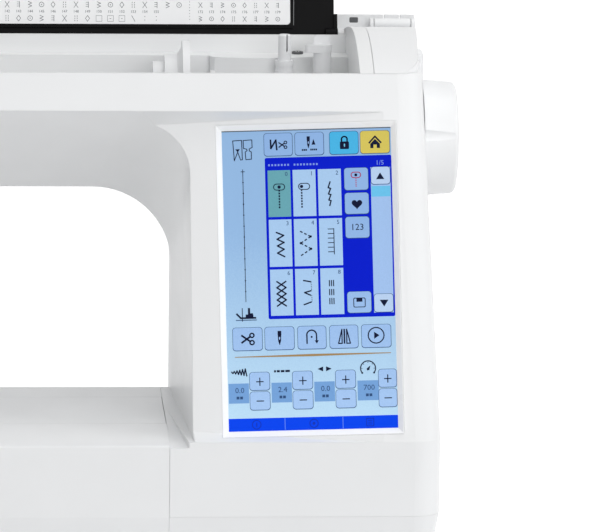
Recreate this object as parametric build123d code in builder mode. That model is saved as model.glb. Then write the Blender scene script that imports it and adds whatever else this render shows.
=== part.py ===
"""Sewing machine with a tall touch screen, an open thread tray and a handwheel."""

import os
from math import atan2, cos, degrees, radians, sin, tan

from build123d import *

os.makedirs("parts", exist_ok=True)

# Heights above the table
foot_h = 6.0
base_z = 51.0
bed_z = 90.0
head_z = 158.0
arm_rear_z = 200.0
overhang_z = 255.0
rim_z = 274.0
crown_rise = 16.0
crown_rear_rise = 9.0
crown_front_share = 0.775
crown_rear_share = 0.343
crown_y = 0.0
deck_z = 281.5
rear_rim_z = 289.2

# Depths, the front is negative
front_y = -95.0
rim_y = -58.0
parting_y = 40.0
rear_y = 68.0
bed_rear_y = 47.0

# Widths, the right is positive
bed_left_x = -234.0
left_x = -200.0
rim_left_x = -194.0
face_x = -184.0
head_right_x = -61.0
foot_x = 92.0
column_x = 97.0
right_x = 230.5
rim_right_x = 221.0
side_flare = 7.2

# Covers
wall = 2.6
corner_r = 14.0
rear_corner_r = 5.0
rear_rim_t = 2.4
arm_corner_r = 42.0
arm_front_r = 30.0
column_draft = 0.057
edge_r = 0.6
fit = 0.3
base_taper = 7.0
notch_x = 94.0
notch_y = -16.0
notch_end_x = 101.5
notch_end_y = -92.0
notch_drop = 2.8

# Screen recess in the column
recess_right_x = 201.0
recess_yaw = 5.7
recess_top_slope = 40.0
recess_foot_slope = 19.0
recess_reach = 25.0
screen_w = 86.4
screen_h = 153.4
screen_from_right = 37.8
screen_up = 83.0
screen_roll = 1.4
bezel_w = 3.0
bezel_t = 6.0
bezel_gap = 0.05
bezel_lip = 0.3
glass_sink = 2.4
glass_t = 1.2
glass_edge = 1.6
module_t = 5.0
module_rim_t = 1.2

# Shafts, belts and motor
shaft_y = 5.0
shaft_z = 232.0
shaft_r = 4.0
shaft_end_x = 236.0
bush_r = 6.5
boss_r = 8.0
lug_w = 10.0
lower_z = 46.0
lower_shaft_x = -120.0
upper_lug_xs = (-97.0, 60.0, 170.0)
lower_lug_xs = (-85.0, 100.0)
crank_x = -108.0
crank_w = 4.0
crank_r = 13.0
timing_x = 199.5
timing_w = 9.0
timing_r = 14.0
belt_t = 1.8
drive_x = 211.0
drive_w = 6.0
drive_r = 22.0
motor_x = 116.0
motor_y = -32.0
motor_z = 140.0
motor_r = 24.0
motor_l = 52.0
motor_shaft_r = 3.0
motor_pulley_r = 6.0
run_fit = 0.05

# Cast frame and board
beam_left_x = -150.0
frame_right_x = 197.0
beam_y = 34.0
beam_w = 24.0
beam_z = 210.0
beam_top_z = 262.0
upright_x = 110.0
upright_y = 46.0
upright_t = 6.0
rail_y = -42.0
rail_z = 36.0
rail_w = 16.0
hook_plate_t = 4.0
bracket_t = 4.0
board_x = 112.0
board_y = 31.0
board_z = 70.0
board_w = 54.0
board_h = 110.0
board_t = 1.6
chip_w = 12.0
chip_t = 3.0
peg_r = 3.0

# Handwheel
wheel_x = 225.95
wheel_end_x = 244.0
wheel_seat_x = 225.6
wheel_gap = 1.0
wheel_r = 30.5
wheel_taper = 1.4
wheel_edge_r = 3.0
wheel_hub_r = 8.0
hub_x = 218.5
groove_r = 4.0
groove_depth = 1.5
groove_turn = 10.0
collar_r = 46.4
collar_x = 226.1
collar_front = 10.0
collar_back = 18.0

# Needle, presser foot and take-up
needle_x = -113.0
bar_r = 3.2
bar_top_z = 240.0
clamp_z = 138.0
clamp_h = 12.0
clamp_r = 5.0
needle_tip_z = 104.0
needle_r = 0.8
needle_point_l = 4.0
presser_back = 13.0
presser_r = 3.5
foot_w = 20.0
foot_l = 30.0
foot_t = 2.0
foot_gap = 0.4
holder_z = 98.0
guide_z = 166.0
guide_top_z = 210.0
take_up_x = -101.0
take_up_y = -10.0
take_up_z = 228.0
take_up_l = 54.0
take_up_rise = 25.0
take_up_t = 2.0
take_up_pin_r = 2.5
lifter_x = -101.0
lifter_y = 26.0
lifter_z = 170.0
lifter_l = 46.0
lifter_w = 6.0
lifter_pin_r = 2.0

# Hook and bed
hook_back = 17.0
hook_r = 15.0
hook_z = 62.0
hook_h = 18.0
hook_wall = 1.6
stem_r = 3.0
hook_gear_r = 5.6
lower_gear_r = 11.0
gear_w = 8.0
bobbin_r = 10.4
bobbin_h = 11.6
arm_front_y = -48.0
arm_back_y = 20.0
arm_end_x = -221.0
arm_floor_z = 32.0
arm_end_r = 20.0
plate_t = 2.0
plate_w = 74.0
plate_front = 17.0
cover_w = 46.0
lip = 1.5
feed_x = 6.5
feed_y = 3.0
feed_z = 81.0
feed_w = 3.0
feed_l = 12.0
feed_travel = 1.5
table_z = 24.0
table_corner_r = 12.0
table_roll_y = 20.0
table_roll_z = 2.6
table_roll_lip = 0.3
table_gap = 0.1
slab_z = 22.0
slab_in = 20.0
pad_r = 10.0
foot_xs = (-180.0, 200.0)
foot_ys = (-62.0, 36.0)
screw_xs = (125.0, 180.0)
screw_ys = (-70.0, 45.0)
screw_r = 2.0
screw_head_t = 1.2
screw_slot_w = 0.7

# Thread tray, lid and winder
tray_floor_z = 241.6
tray_t = 2.0
trough_front_y = -28.0
trough_back_y = 28.0
ledge_z = 272.0
front_ledge_z = 268.0
ledge_back_y = 50.0
back_wall_y = 39.0
back_wall_z = 281.6
tray_lip = 1.5
arch_in_x = 189.0
arch_out_x = 196.2
arch_left_x = -187.0
cap_inset = 2.0
trough_left_x = -60.0
lid_right_x = 183.2
lid_left_x = -182.0
lid_t = 1.8
ear_w = 1.7
ear_l = 11.0
ear_t = 3.3
liner_t = 0.8
liner_in = 3.0
liner_margin = 1.6
liner_back = 3.5
card_t = 0.3
card_left_x = -140.0
card_right_x = 159.8
card_front_y = -46.0
card_back_y = 40.8
lid_open = 99.0
hinge_y = 46.0
hinge_z = 281.0
hinge_r = 3.4
hinge_w = 4.6
hinge_back = 8.0
hinge_pin_r = 1.5
pin_y = 5.0
pin_z = 263.4
pin_r = 1.9
pin_l = 68.0
post_x = 116.2
post_w = 2.4
post_rise = 1.4
block_end_y = 25.2
block_front = ((118.4, 21.5), (135.0, 17.2), (169.0, 22.6))
cap_x = 85.4
cap_r = 19.2
cap_hub_r = 12.1
cap_stub_r = 8.4
cap_stub_l = 6.0
cap_hub_l = 6.6
cap_cone_l = 2.6
cap_cone_r = 16.1
cap_disc_t = 3.7
winder_x = 154.7
winder_y = 12.0
winder_top_z = 285.3
winder_base_z = 257.0
stop_x = 174.4
stop_y = 10.0
stop_z = 276.4
stop_t = 4.0
stop_post_r = 4.7
stop_reach = 7.0
spindle_r = 3.4
flange_r = 5.0
flange_t = 2.6
flange_zs = (264.0, 269.0)
slit_w = 0.9
slit_l = 8.7
stop_tab_h = 4.5
stop_tab_r = 4.3
stop_tab_round = 1.6
journal_r = 2.0
journal_l = 8.0
winder_floor_x = 140.0
winder_front_y = -4.0
tray_screw_x = 163.0
tray_screw_y = 35.6

# Carry handle
handle_y = 61.5
handle_z = 285.2
handle_r = 2.8
handle_reach = 18.0
handle_drop = 70.0
handle_x = 205.5
handle_left_x = -174.0
handle_l = 19.4
grip_r = 6.0
lug_t = 2.0
handle_pin_r = 1.2
handle_arm_w = 8.0
handle_notch = 0.6

# Controls and sockets
button_r = 7.0
button_rise = 1.6
button_flange = 2.0
button_z = 182.0
button_xs = (-165.0, -143.0)
slider_x = -150.0
slider_z = 212.0
slider_travel = 36.0
slider_stem = 3.0
slider_rise = 4.0
inlet_x = 190.0
switch_x = 150.0
socket_z = 70.0
socket_w = 28.0
socket_h = 20.0
socket_d = 14.0
contact_r = 1.0

lean = degrees(atan2(rim_y - front_y, rim_z - bed_z))
needle_y = shaft_y
hook_y = needle_y - hook_back
presser_y = needle_y + presser_back
overhang_y = front_y + (overhang_z - bed_z) * tan(radians(lean))
deck_front_y = hinge_y + hinge_back
big = 400.0


def at(z, low, high):
    """A size that changes evenly from the bed up to the rim."""
    return low + (high - low) * (max(z, bed_z) - bed_z) / (rim_z - bed_z)


def block(x0, x1, y0, y1, z0, z1):
    """A box between two corners."""
    with BuildPart() as piece:
        with Locations(((x0 + x1) / 2, (y0 + y1) / 2, (z0 + z1) / 2)):
            Box(x1 - x0, y1 - y0, z1 - z0)
    return piece.part


def rod_x(x0, x1, y, z, r):
    """A round bar along X."""
    with BuildPart(Plane((x0, y, z), x_dir=(0, 1, 0), z_dir=(1, 0, 0))) as piece:
        Cylinder(r, x1 - x0, align=(Align.CENTER, Align.CENTER, Align.MIN))
    return piece.part


def rod_z(x, y, z0, z1, r):
    """A round bar along Z."""
    with BuildPart(Plane((x, y, z0))) as piece:
        Cylinder(r, z1 - z0, align=(Align.CENTER, Align.CENTER, Align.MIN))
    return piece.part


def cover_plan(z, inset):
    """Plan of the covers at one height, drawn in by a wall."""
    left = at(z, left_x, rim_left_x) + inset
    front = at(z, front_y, rim_y) + inset
    right = at(z, right_x, rim_right_x) - inset
    back = rear_y - inset
    with BuildSketch(Plane.XY.offset(z)) as plan:
        with BuildLine():
            Polyline((left, front), (right, front), (right + side_flare, back), (left, back), close=True)
        make_face()
        fillet(plan.vertices().group_by(Axis.Y)[0], corner_r - inset)
        fillet(plan.vertices().group_by(Axis.Y)[-1], max(rear_corner_r - inset, fit))
    return plan.sketch


def foot_plan(z, inset, left_inset):
    """Plan of the column's foot, square where the bed joins it."""
    left = foot_x + left_inset
    inner = column_x + left_inset
    front = front_y + inset
    right = right_x - inset
    back = rear_y - inset
    bed_back = bed_rear_y - inset
    with BuildSketch(Plane.XY.offset(z)) as plan:
        with BuildLine():
            Polyline(
                (left, front),
                (right, front),
                (right + side_flare, back),
                (inner, back),
                (inner, bed_back),
                (left, bed_back),
                close=True,
            )
        make_face()
        fillet(plan.vertices().group_by(Axis.X)[-2], corner_r - inset)
        fillet(plan.vertices().group_by(Axis.X)[-1], max(rear_corner_r - inset, fit))
    return plan.sketch


def under_arm_section(y, inset):
    """Opening under the arm at one depth: it widens to the front."""
    back = parting_y - y
    share = back / (parting_y - overhang_y)
    top = arm_rear_z + (overhang_z - arm_rear_z) * share + inset
    radius = arm_corner_r - (arm_corner_r - arm_front_r) * share + inset
    right = column_x + column_draft * back + inset
    left = head_right_x - column_draft * back - inset
    with BuildSketch(Plane.XZ.offset(-y)) as outline:
        with BuildLine():
            Polyline((left, base_z), (right, base_z), (right, top), (left, top), close=True)
        make_face()
        fillet(outline.vertices().group_by(Axis.Y)[-1], radius)
    return outline.sketch


def under_arm(inset):
    """Space under the arm as a cutting form."""
    with BuildPart() as form:
        loft(
            [under_arm_section(front_y - corner_r, inset), under_arm_section(parting_y, inset)],
            ruled=True,
        )
        extrude(under_arm_section(parting_y, inset), amount=parting_y - rear_y - corner_r)
    return form.part


up_face = Vector(0, sin(radians(lean)), cos(radians(lean)))
out_face = Vector(0, -cos(radians(lean)), sin(radians(lean)))
yaw = radians(recess_yaw)
out_recess = out_face * cos(yaw) - Vector(1, 0, 0) * sin(yaw)
along_recess = Vector(1, 0, 0) * cos(yaw) + out_face * sin(yaw)
recess_origin = Vector(recess_right_x, front_y, bed_z)


def recess(inset):
    """Recess that holds the screen: flush at the right, deeper to the left."""
    top = tan(radians(recess_top_slope))
    foot = tan(radians(recess_foot_slope))
    low = bed_z - inset / cos(radians(recess_foot_slope))
    high = overhang_z + inset / cos(radians(recess_top_slope))
    near = front_y - recess_reach
    deep = overhang_y + recess_reach
    with BuildPart() as form:
        with BuildSketch(Plane.YZ.offset(head_right_x / 2)):
            with BuildLine():
                Polyline(
                    (near, low - recess_reach * foot),
                    (deep, low + (deep - front_y) * foot),
                    (deep, high - recess_reach * top),
                    (near, high + (overhang_y - near) * top),
                    close=True,
                )
            make_face()
        extrude(amount=right_x - head_right_x / 2)
        floor = Plane(recess_origin - out_recess * inset, x_dir=along_recess, z_dir=out_recess)
        split(bisect_by=floor, keep=Keep.TOP)
    return form.part


def finger_notch(inset):
    """Sloping notch beside the end of the extension table."""
    run = Vector(notch_end_x - notch_x, notch_end_y - notch_y, 0).normalized()
    side = Vector(-run.Y, run.X, 0)
    slope = notch_drop / (notch_y - notch_end_y)
    reach = notch_y - front_y + corner_r
    with BuildPart() as form:
        with BuildSketch(Plane.YZ.offset(foot_x - wall)):
            with BuildLine():
                Polyline(
                    (notch_y, bed_z - inset),
                    (notch_y - reach, bed_z - inset - slope * reach),
                    (notch_y - reach, bed_z + wall),
                    (notch_y, bed_z + wall),
                    close=True,
                )
            make_face()
        extrude(amount=corner_r + wall)
        corner = Vector(notch_x, notch_y, bed_z) + side * inset
        split(bisect_by=Plane(corner, x_dir=run, z_dir=side), keep=Keep.BOTTOM)
    return form.part


def cover_form(inset):
    """The covers as one solid, drawn in by a wall."""
    low = bed_z - inset
    with BuildPart() as form:
        loft([cover_plan(low, inset), cover_plan(rim_z + inset * 2, inset)])
        add(under_arm(inset), mode=Mode.SUBTRACT)
        add(
            block(left_x - wall, column_x - arm_corner_r, -big, big, base_z, head_z + inset),
            mode=Mode.SUBTRACT,
        )
        add(recess(inset), mode=Mode.SUBTRACT)
        extrude(foot_plan(base_z - inset, inset, inset), amount=low - base_z + inset)
        add(finger_notch(inset), mode=Mode.SUBTRACT)
        add(
            rod_x(wheel_seat_x - inset, big, shaft_y, shaft_z, wheel_r + wheel_gap + inset),
            mode=Mode.SUBTRACT,
        )
    return form.part


def crown_section(x, drop):
    """Side view of the crowned top over the tray, lowered by some thickness."""
    rear = deck_front_y - fit
    fall = (crown_rise - crown_rear_rise) * crown_rear_share
    with BuildSketch(Plane.YZ.offset(x)) as outline:
        with BuildLine():
            ThreePointArc(
                (rim_y, rim_z - drop),
                (rim_y / 2, rim_z + crown_rise * crown_front_share - drop),
                (crown_y, rim_z + crown_rise - drop),
            )
            ThreePointArc(
                (crown_y, rim_z + crown_rise - drop),
                (rear / 2, rim_z + crown_rise - fall - drop),
                (rear, rim_z + crown_rear_rise - drop),
            )
            Polyline(
                (rear, rim_z + crown_rear_rise - drop),
                (rear, tray_floor_z),
                (rim_y, tray_floor_z),
                (rim_y, rim_z - drop),
            )
        make_face()
    return outline.sketch


def crown_layer(drop, thick, x0, x1, y0, y1):
    """A sheet that follows the crown."""
    with BuildPart() as sheet:
        extrude(crown_section(x0, drop), amount=x1 - x0)
        extrude(crown_section(x0, drop + thick), amount=x1 - x0, mode=Mode.SUBTRACT)
        add(block(x0, x1, y0, y1, rim_z + fit, rim_z + big), mode=Mode.INTERSECT)
    return sheet.part


def rim_block(inset, rise):
    """An upright block on the covers' rim outline."""
    with BuildPart() as piece:
        extrude(cover_plan(rim_z, inset), amount=rise)
    return piece.part


def crown_block(x0, x1, drop):
    """A solid under the crown between two ends."""
    with BuildPart() as piece:
        extrude(crown_section(x0, drop), amount=x1 - x0)
        add(rim_block(drop, 2 * crown_rise), mode=Mode.INTERSECT)
    return piece.part


def front_plane(x, z):
    """A plane on the covers' leaning front."""
    return Plane((x, at(z, front_y, rim_y), z), x_dir=(1, 0, 0), z_dir=out_face)


# Screen's own plane on the recess floor
roll = radians(screen_roll)
screen_centre = recess_origin - along_recess * screen_from_right + up_face * screen_up
screen_side = along_recess * cos(roll) + up_face * sin(roll)
screen_plane = Plane(screen_centre, x_dir=screen_side, z_dir=out_recess)

outer_form = cover_form(0)
inner_form = cover_form(wall)

# Covers of arm, head and column, before they are parted
with BuildPart() as covers:
    add(outer_form)
    add(inner_form, mode=Mode.SUBTRACT)
    # window for the screen
    with BuildSketch(screen_plane):
        Rectangle(screen_w + 2 * (bezel_w + bezel_gap), screen_h + 2 * (bezel_w + bezel_gap))
    extrude(amount=bezel_t, both=True, mode=Mode.SUBTRACT)
    # hole for the handwheel's hub
    add(rod_x(drive_x + drive_w, big, shaft_y, shaft_z, wheel_hub_r + 2), mode=Mode.SUBTRACT)
    # passage from the column's foot into the free arm
    add(
        block(
            foot_x - wall,
            foot_x + 2 * wall,
            arm_front_y + 2 * wall,
            arm_back_y - 2 * wall,
            base_z - wall,
            bed_z - 2 * wall,
        ),
        mode=Mode.SUBTRACT,
    )
    # slot for the take-up lever
    add(
        block(
            take_up_x - 1.5 * take_up_t,
            take_up_x + 1.5 * take_up_t,
            front_y,
            rim_y + 2 * wall,
            take_up_z - 0.75 * take_up_l,
            take_up_z + 0.65 * take_up_l,
        ),
        mode=Mode.SUBTRACT,
    )
    # holes under the head for needle bar, presser bar and lifter
    add(rod_z(needle_x, needle_y, head_z - wall, head_z + 2 * wall, clamp_r + wall), mode=Mode.SUBTRACT)
    add(rod_z(needle_x, presser_y, head_z - wall, head_z + 2 * wall, presser_r + wall), mode=Mode.SUBTRACT)
    add(
        block(
            lifter_x - 5,
            lifter_x + 5,
            lifter_y - 7,
            rear_y - 1.5 * wall,
            head_z - wall,
            head_z + 2 * wall,
        ),
        mode=Mode.SUBTRACT,
    )
    # holes for the buttons and the speed slider
    for x in button_xs:
        with BuildSketch(front_plane(x, button_z)):
            Circle(button_r + fit)
        extrude(amount=2 * wall, both=True, mode=Mode.SUBTRACT)
    with BuildSketch(front_plane(slider_x, slider_z)):
        Rectangle(slider_travel + 2 * slider_stem, slider_stem + 2 * fit)
    extrude(amount=2 * wall, both=True, mode=Mode.SUBTRACT)
    # holes for the inlet and the switch in the foot's rear wall
    for x in (inlet_x, switch_x):
        add(
            block(
                x - socket_w / 2,
                x + socket_w / 2,
                rear_y - 2 * wall,
                rear_y + wall,
                socket_z - socket_h / 2,
                socket_z + socket_h / 2,
            ),
            mode=Mode.SUBTRACT,
        )

with BuildPart() as front_cover:
    add(covers.part)
    split(bisect_by=Plane.XZ.offset(-parting_y), keep=Keep.TOP)
    split(bisect_by=Plane.YZ.offset(face_x), keep=Keep.TOP)
front_cover.part.label = "front_cover"
export_step(front_cover.part, "parts/front_cover.step")

with BuildPart() as face_cover:
    add(covers.part)
    split(bisect_by=Plane.YZ.offset(face_x), keep=Keep.BOTTOM)
face_cover.part.label = "face_cover"
export_step(face_cover.part, "parts/face_cover.step")


def rear_deck(inset):
    """Raised deck behind the tray, drawn in by a wall."""
    with BuildPart() as deck:
        add(rim_block(inset, deck_z - rim_z - inset))
        add(
            block(face_x + inset, big, deck_front_y + inset, rear_y, rim_z, deck_z),
            mode=Mode.INTERSECT,
        )
    return deck.part


# Rear cover carries the rear deck and the handle's lugs
with BuildPart() as rear_cover:
    add(covers.part)
    split(bisect_by=Plane.XZ.offset(-parting_y), keep=Keep.BOTTOM)
    split(bisect_by=Plane.YZ.offset(face_x), keep=Keep.TOP)
    add(rear_deck(0))
    add(rear_deck(wall + fit), mode=Mode.SUBTRACT)
    # raised rim along the back, notched for the handle's arms
    with BuildPart(mode=Mode.PRIVATE) as rear_rim:
        add(rim_block(0, rear_rim_z - rim_z))
        add(
            block(face_x, big, rear_y - rear_rim_t, rear_y, deck_z - wall, rear_rim_z),
            mode=Mode.INTERSECT,
        )
        for x in (handle_x, handle_left_x):
            mid_x = x + handle_l / 2
            half_w = handle_arm_w / 2 + handle_notch
            add(
                block(mid_x - half_w, mid_x + half_w, rear_y - rear_rim_t, rear_y, deck_z, rear_rim_z),
                mode=Mode.SUBTRACT,
            )
    add(rear_rim.part)
    for x in (handle_x, handle_left_x):
        for end in (x - lug_t - fit, x + handle_l + fit):
            add(block(end, end + lug_t, handle_y - handle_r, handle_y + handle_r, deck_z, handle_z))
            add(rod_x(end, end + lug_t, handle_y, handle_z, handle_r))
            add(
                rod_x(end - fit, end + lug_t + fit, handle_y, handle_z, handle_pin_r + run_fit),
                mode=Mode.SUBTRACT,
            )
rear_cover.part.label = "rear_cover"
export_step(rear_cover.part, "parts/rear_cover.step")

# Base under the column, with a low slab under the free arm
with BuildPart() as base_pan:
    loft([foot_plan(foot_h, base_taper, 0), foot_plan(base_z, 0, 0)])
    loft(
        [
            foot_plan(foot_h + wall, base_taper + wall, wall),
            foot_plan(base_z, wall, wall),
        ],
        mode=Mode.SUBTRACT,
    )
    add(
        block(
            foot_x - wall,
            foot_x + 2 * wall,
            arm_front_y + 2 * wall,
            arm_back_y - 2 * wall,
            arm_floor_z,
            base_z,
        ),
        mode=Mode.SUBTRACT,
    )
    add(block(left_x, foot_x, front_y + slab_in, rear_y - slab_in, foot_h, slab_z))
    with Locations(*[(x, y, foot_h) for x in screw_xs for y in screw_ys]):
        Cylinder(screw_r + run_fit, 4 * wall, mode=Mode.SUBTRACT)
base_pan.part.label = "base_pan"
export_step(base_pan.part, "parts/base_pan.step")

# Rubber feet under the base
with BuildPart() as rubber_feet:
    with Locations((0, 0, 0), *[(x, y, 0) for x in foot_xs for y in foot_ys]):
        Cylinder(pad_r, foot_h, align=(Align.CENTER, Align.CENTER, Align.MIN))
    chamfer(rubber_feet.edges().group_by(Axis.Z)[0], foot_h / 5)
rubber_feet.part.label = "rubber_feet"
export_step(rubber_feet.part, "parts/rubber_feet.step")

# Screws that hold the base
with BuildPart() as base_screws:
    with Locations(*[(x, y, foot_h) for x in screw_xs for y in screw_ys]):
        Cylinder(2 * screw_r, foot_h / 3, align=(Align.CENTER, Align.CENTER, Align.MAX))
        Cylinder(screw_r, wall, align=(Align.CENTER, Align.CENTER, Align.MIN))
base_screws.part.label = "base_screws"
export_step(base_screws.part, "parts/base_screws.step")

# Free arm: a tube that holds the hook
with BuildPart() as free_arm:
    with BuildSketch(Plane.XY.offset(arm_floor_z)) as plan:
        with BuildLine():
            Polyline(
                (arm_end_x, arm_front_y),
                (foot_x - fit, arm_front_y),
                (foot_x - fit, arm_back_y),
                (arm_end_x, arm_back_y),
                close=True,
            )
        make_face()
        fillet(plan.vertices().group_by(Axis.X)[0], arm_end_r)
    extrude(amount=bed_z - arm_floor_z)
    with BuildSketch(Plane.XY.offset(arm_floor_z + wall)) as room:
        with BuildLine():
            Polyline(
                (arm_end_x + wall, arm_front_y + wall),
                (foot_x, arm_front_y + wall),
                (foot_x, arm_back_y - wall),
                (arm_end_x + wall, arm_back_y - wall),
                close=True,
            )
        make_face()
        fillet(room.vertices().group_by(Axis.X)[0], arm_end_r - wall)
    extrude(amount=bed_z - arm_floor_z - 2 * wall, mode=Mode.SUBTRACT)
    # seats for the needle plate and the bobbin cover, each with a lip below
    plate_back_y = arm_back_y - wall
    plate_front_y = needle_y - plate_front
    cover_front_y = arm_front_y + 1.5 * wall
    for width, y0, y1 in ((plate_w, plate_front_y, plate_back_y), (cover_w, cover_front_y, plate_front_y)):
        x0 = needle_x - width / 2
        x1 = needle_x + width / 2
        add(block(x0, x1, y0, y1, bed_z - plate_t, bed_z), mode=Mode.SUBTRACT)
        add(
            block(x0 + lip, x1 - lip, y0 + lip, y1 - lip, bed_z - 2 * wall, bed_z),
            mode=Mode.SUBTRACT,
        )
free_arm.part.label = "free_arm"
export_step(free_arm.part, "parts/free_arm.step")

with BuildPart() as needle_plate:
    add(
        block(
            needle_x - plate_w / 2 + fit,
            needle_x + plate_w / 2 - fit,
            plate_front_y + fit / 2,
            plate_back_y - fit,
            bed_z - plate_t,
            bed_z,
        )
    )
    with BuildSketch(Plane((needle_x, needle_y, bed_z))):
        SlotOverall(2 * feed_x - 2 * feed_w, 8 * fit)
    extrude(amount=-plate_t, mode=Mode.SUBTRACT)
    with BuildSketch(Plane((needle_x, needle_y, bed_z))):
        with Locations((-feed_x, feed_y), (feed_x, feed_y)):
            Rectangle(feed_w + 4 * fit, feed_l + 2 * feed_travel + 4 * fit)
    extrude(amount=-plate_t, mode=Mode.SUBTRACT)
needle_plate.part.label = "needle_plate"
export_step(needle_plate.part, "parts/needle_plate.step")

with BuildPart() as bobbin_cover:
    add(
        block(
            needle_x - cover_w / 2 + fit,
            needle_x + cover_w / 2 - fit,
            cover_front_y + fit,
            plate_front_y - fit / 2,
            bed_z - plate_t,
            bed_z,
        )
    )
bobbin_cover.part.label = "bobbin_cover"
export_step(bobbin_cover.part, "parts/bobbin_cover.step")

with BuildPart() as feed_dog:
    for side in (-feed_x, feed_x):
        add(
            block(
                needle_x + side - feed_w / 2,
                needle_x + side + feed_w / 2,
                needle_y + feed_y - feed_l / 2,
                needle_y + feed_y + feed_l / 2,
                feed_z,
                bed_z - fit,
            )
        )
    add(
        block(
            needle_x - feed_x - feed_w,
            needle_x + feed_x + feed_w,
            needle_y + feed_y,
            needle_y + feed_y + feed_l / 2,
            feed_z,
            feed_z + feed_w,
        )
    )
feed_dog.part.label = "feed_dog"
export_step(feed_dog.part, "parts/feed_dog.step")

# Accessory table that wraps round the free arm and slides off to the left
table_right_x = foot_x - table_gap


def table_section(x, inset):
    """Side view of the table's front part: its top rolls off to the front."""
    front = front_y + inset
    top = bed_z - inset
    back = arm_front_y - fit - inset
    with BuildSketch(Plane.YZ.offset(x)) as outline:
        with BuildLine():
            Bezier(
                (front, top - table_roll_z),
                (front, top - table_roll_lip),
                (front + table_roll_y, top),
                (back, top),
            )
            Polyline(
                (back, top),
                (back, table_z),
                (front + base_taper * (base_z - table_z) / (base_z - foot_h), table_z),
                (front, base_z),
                (front, top - table_roll_z),
            )
        make_face()
    return outline.sketch


with BuildPart() as extension_table:
    extrude(table_section(bed_left_x, 0), amount=table_right_x - bed_left_x)
    add(block(bed_left_x, table_right_x, arm_back_y + fit, bed_rear_y, table_z, bed_z))
    add(block(bed_left_x, arm_end_x - fit, arm_front_y - fit, arm_back_y + fit, table_z, bed_z))
    fillet(
        extension_table.edges().filter_by(Axis.Z).group_by(Axis.X)[0].sort_by(Axis.Y)[-1],
        table_corner_r,
    )
    extrude(
        table_section(bed_left_x + wall, wall),
        amount=table_right_x - bed_left_x - 2 * wall,
        mode=Mode.SUBTRACT,
    )
    add(
        block(
            bed_left_x + table_corner_r,
            table_right_x - wall,
            arm_back_y + fit + wall,
            bed_rear_y - wall,
            table_z,
            bed_z - wall,
        ),
        mode=Mode.SUBTRACT,
    )
extension_table.part.label = "extension_table"
export_step(extension_table.part, "parts/extension_table.step")

# Cast frame: arm beam, upright, bed rail and bearing lugs
motor_end_x = motor_x + motor_l
with BuildPart() as machine_frame:
    add(block(beam_left_x, frame_right_x, beam_y, beam_y + beam_w, beam_z, beam_top_z))
    add(block(upright_x, frame_right_x, upright_y, upright_y + upright_t, foot_h + wall, beam_top_z))
    add(block(upright_x, upright_x + rail_w * 2, rail_y, upright_y, rail_z - 6, rail_z + 4))
    add(block(needle_x + lug_w, upright_x + rail_w * 2, rail_y, rail_y + rail_w, rail_z, rail_z + rail_w))
    for x in upper_lug_xs:
        add(block(x, x + lug_w, shaft_y, beam_y, shaft_z - boss_r, shaft_z + boss_r))
        add(rod_x(x, x + lug_w, shaft_y, shaft_z, boss_r))
    for x in lower_lug_xs:
        add(block(x, x + lug_w, rail_y, shaft_y, rail_z, lower_z + boss_r))
        add(rod_x(x, x + lug_w, shaft_y, lower_z, boss_r))
    # arm that carries the take-up lever's pin
    x0 = upper_lug_xs[0]
    add(
        block(
            x0,
            x0 + lug_w,
            take_up_y - boss_r / 2,
            shaft_y,
            take_up_z - boss_r / 2,
            take_up_z + boss_r / 2,
        )
    )
    add(rod_x(take_up_x - take_up_t, x0 + lug_w, take_up_y, take_up_z, take_up_pin_r))
    # bearing plate under the hook
    add(
        block(
            needle_x - lug_w,
            needle_x + 3 * lug_w,
            rail_y,
            hook_y + lug_w / 2,
            rail_z,
            rail_z + hook_plate_t,
        )
    )
    # bracket for the motor and pegs for the board
    add(
        block(
            motor_end_x,
            motor_end_x + bracket_t,
            motor_y - motor_r,
            upright_y,
            motor_z - motor_r,
            motor_z + motor_r,
        )
    )
    for x in (board_x + 2 * peg_r, board_x + board_w - 2 * peg_r):
        for z in (board_z + 2 * peg_r, board_z + board_h - 2 * peg_r):
            with Locations(Plane((x, upright_y, z), x_dir=(1, 0, 0), z_dir=(0, -1, 0))):
                Cylinder(peg_r, upright_y - board_y, align=(Align.CENTER, Align.CENTER, Align.MIN))
    # hangers for the bar guide and for the lifter's pin
    add(
        block(
            needle_x - lug_w,
            needle_x + lug_w,
            beam_y,
            beam_y + beam_w,
            guide_top_z - 2 * lug_w,
            beam_top_z,
        )
    )
    hanger_x = lifter_x + lifter_w / 2 + fit
    add(rod_x(lifter_x - lifter_w / 2, hanger_x, lifter_y, lifter_z, lifter_pin_r))
    add(
        block(
            hanger_x,
            hanger_x + bracket_t,
            lifter_y - bracket_t,
            beam_y,
            lifter_z - bracket_t,
            beam_z + lug_w,
        )
    )
    # bores
    add(rod_x(beam_left_x, right_x, shaft_y, shaft_z, bush_r), mode=Mode.SUBTRACT)
    add(rod_x(beam_left_x, right_x, shaft_y, lower_z, bush_r), mode=Mode.SUBTRACT)
    add(rod_z(needle_x, hook_y, rail_z, rail_z + hook_plate_t, stem_r + run_fit), mode=Mode.SUBTRACT)
    add(
        rod_x(motor_end_x, motor_end_x + bracket_t, motor_y, motor_z, motor_pulley_r),
        mode=Mode.SUBTRACT,
    )
machine_frame.part.label = "machine_frame"
export_step(machine_frame.part, "parts/machine_frame.step")

# Plain bushes for both shafts
with BuildPart() as shaft_bushes:
    for z, xs in ((shaft_z, upper_lug_xs), (lower_z, lower_lug_xs)):
        for x in xs:
            add(rod_x(x, x + lug_w, shaft_y, z, bush_r))
    add(rod_x(beam_left_x, right_x, shaft_y, shaft_z, shaft_r + run_fit), mode=Mode.SUBTRACT)
    add(rod_x(beam_left_x, right_x, shaft_y, lower_z, shaft_r + run_fit), mode=Mode.SUBTRACT)
shaft_bushes.part.label = "shaft_bushes"
export_step(shaft_bushes.part, "parts/shaft_bushes.step")

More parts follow.
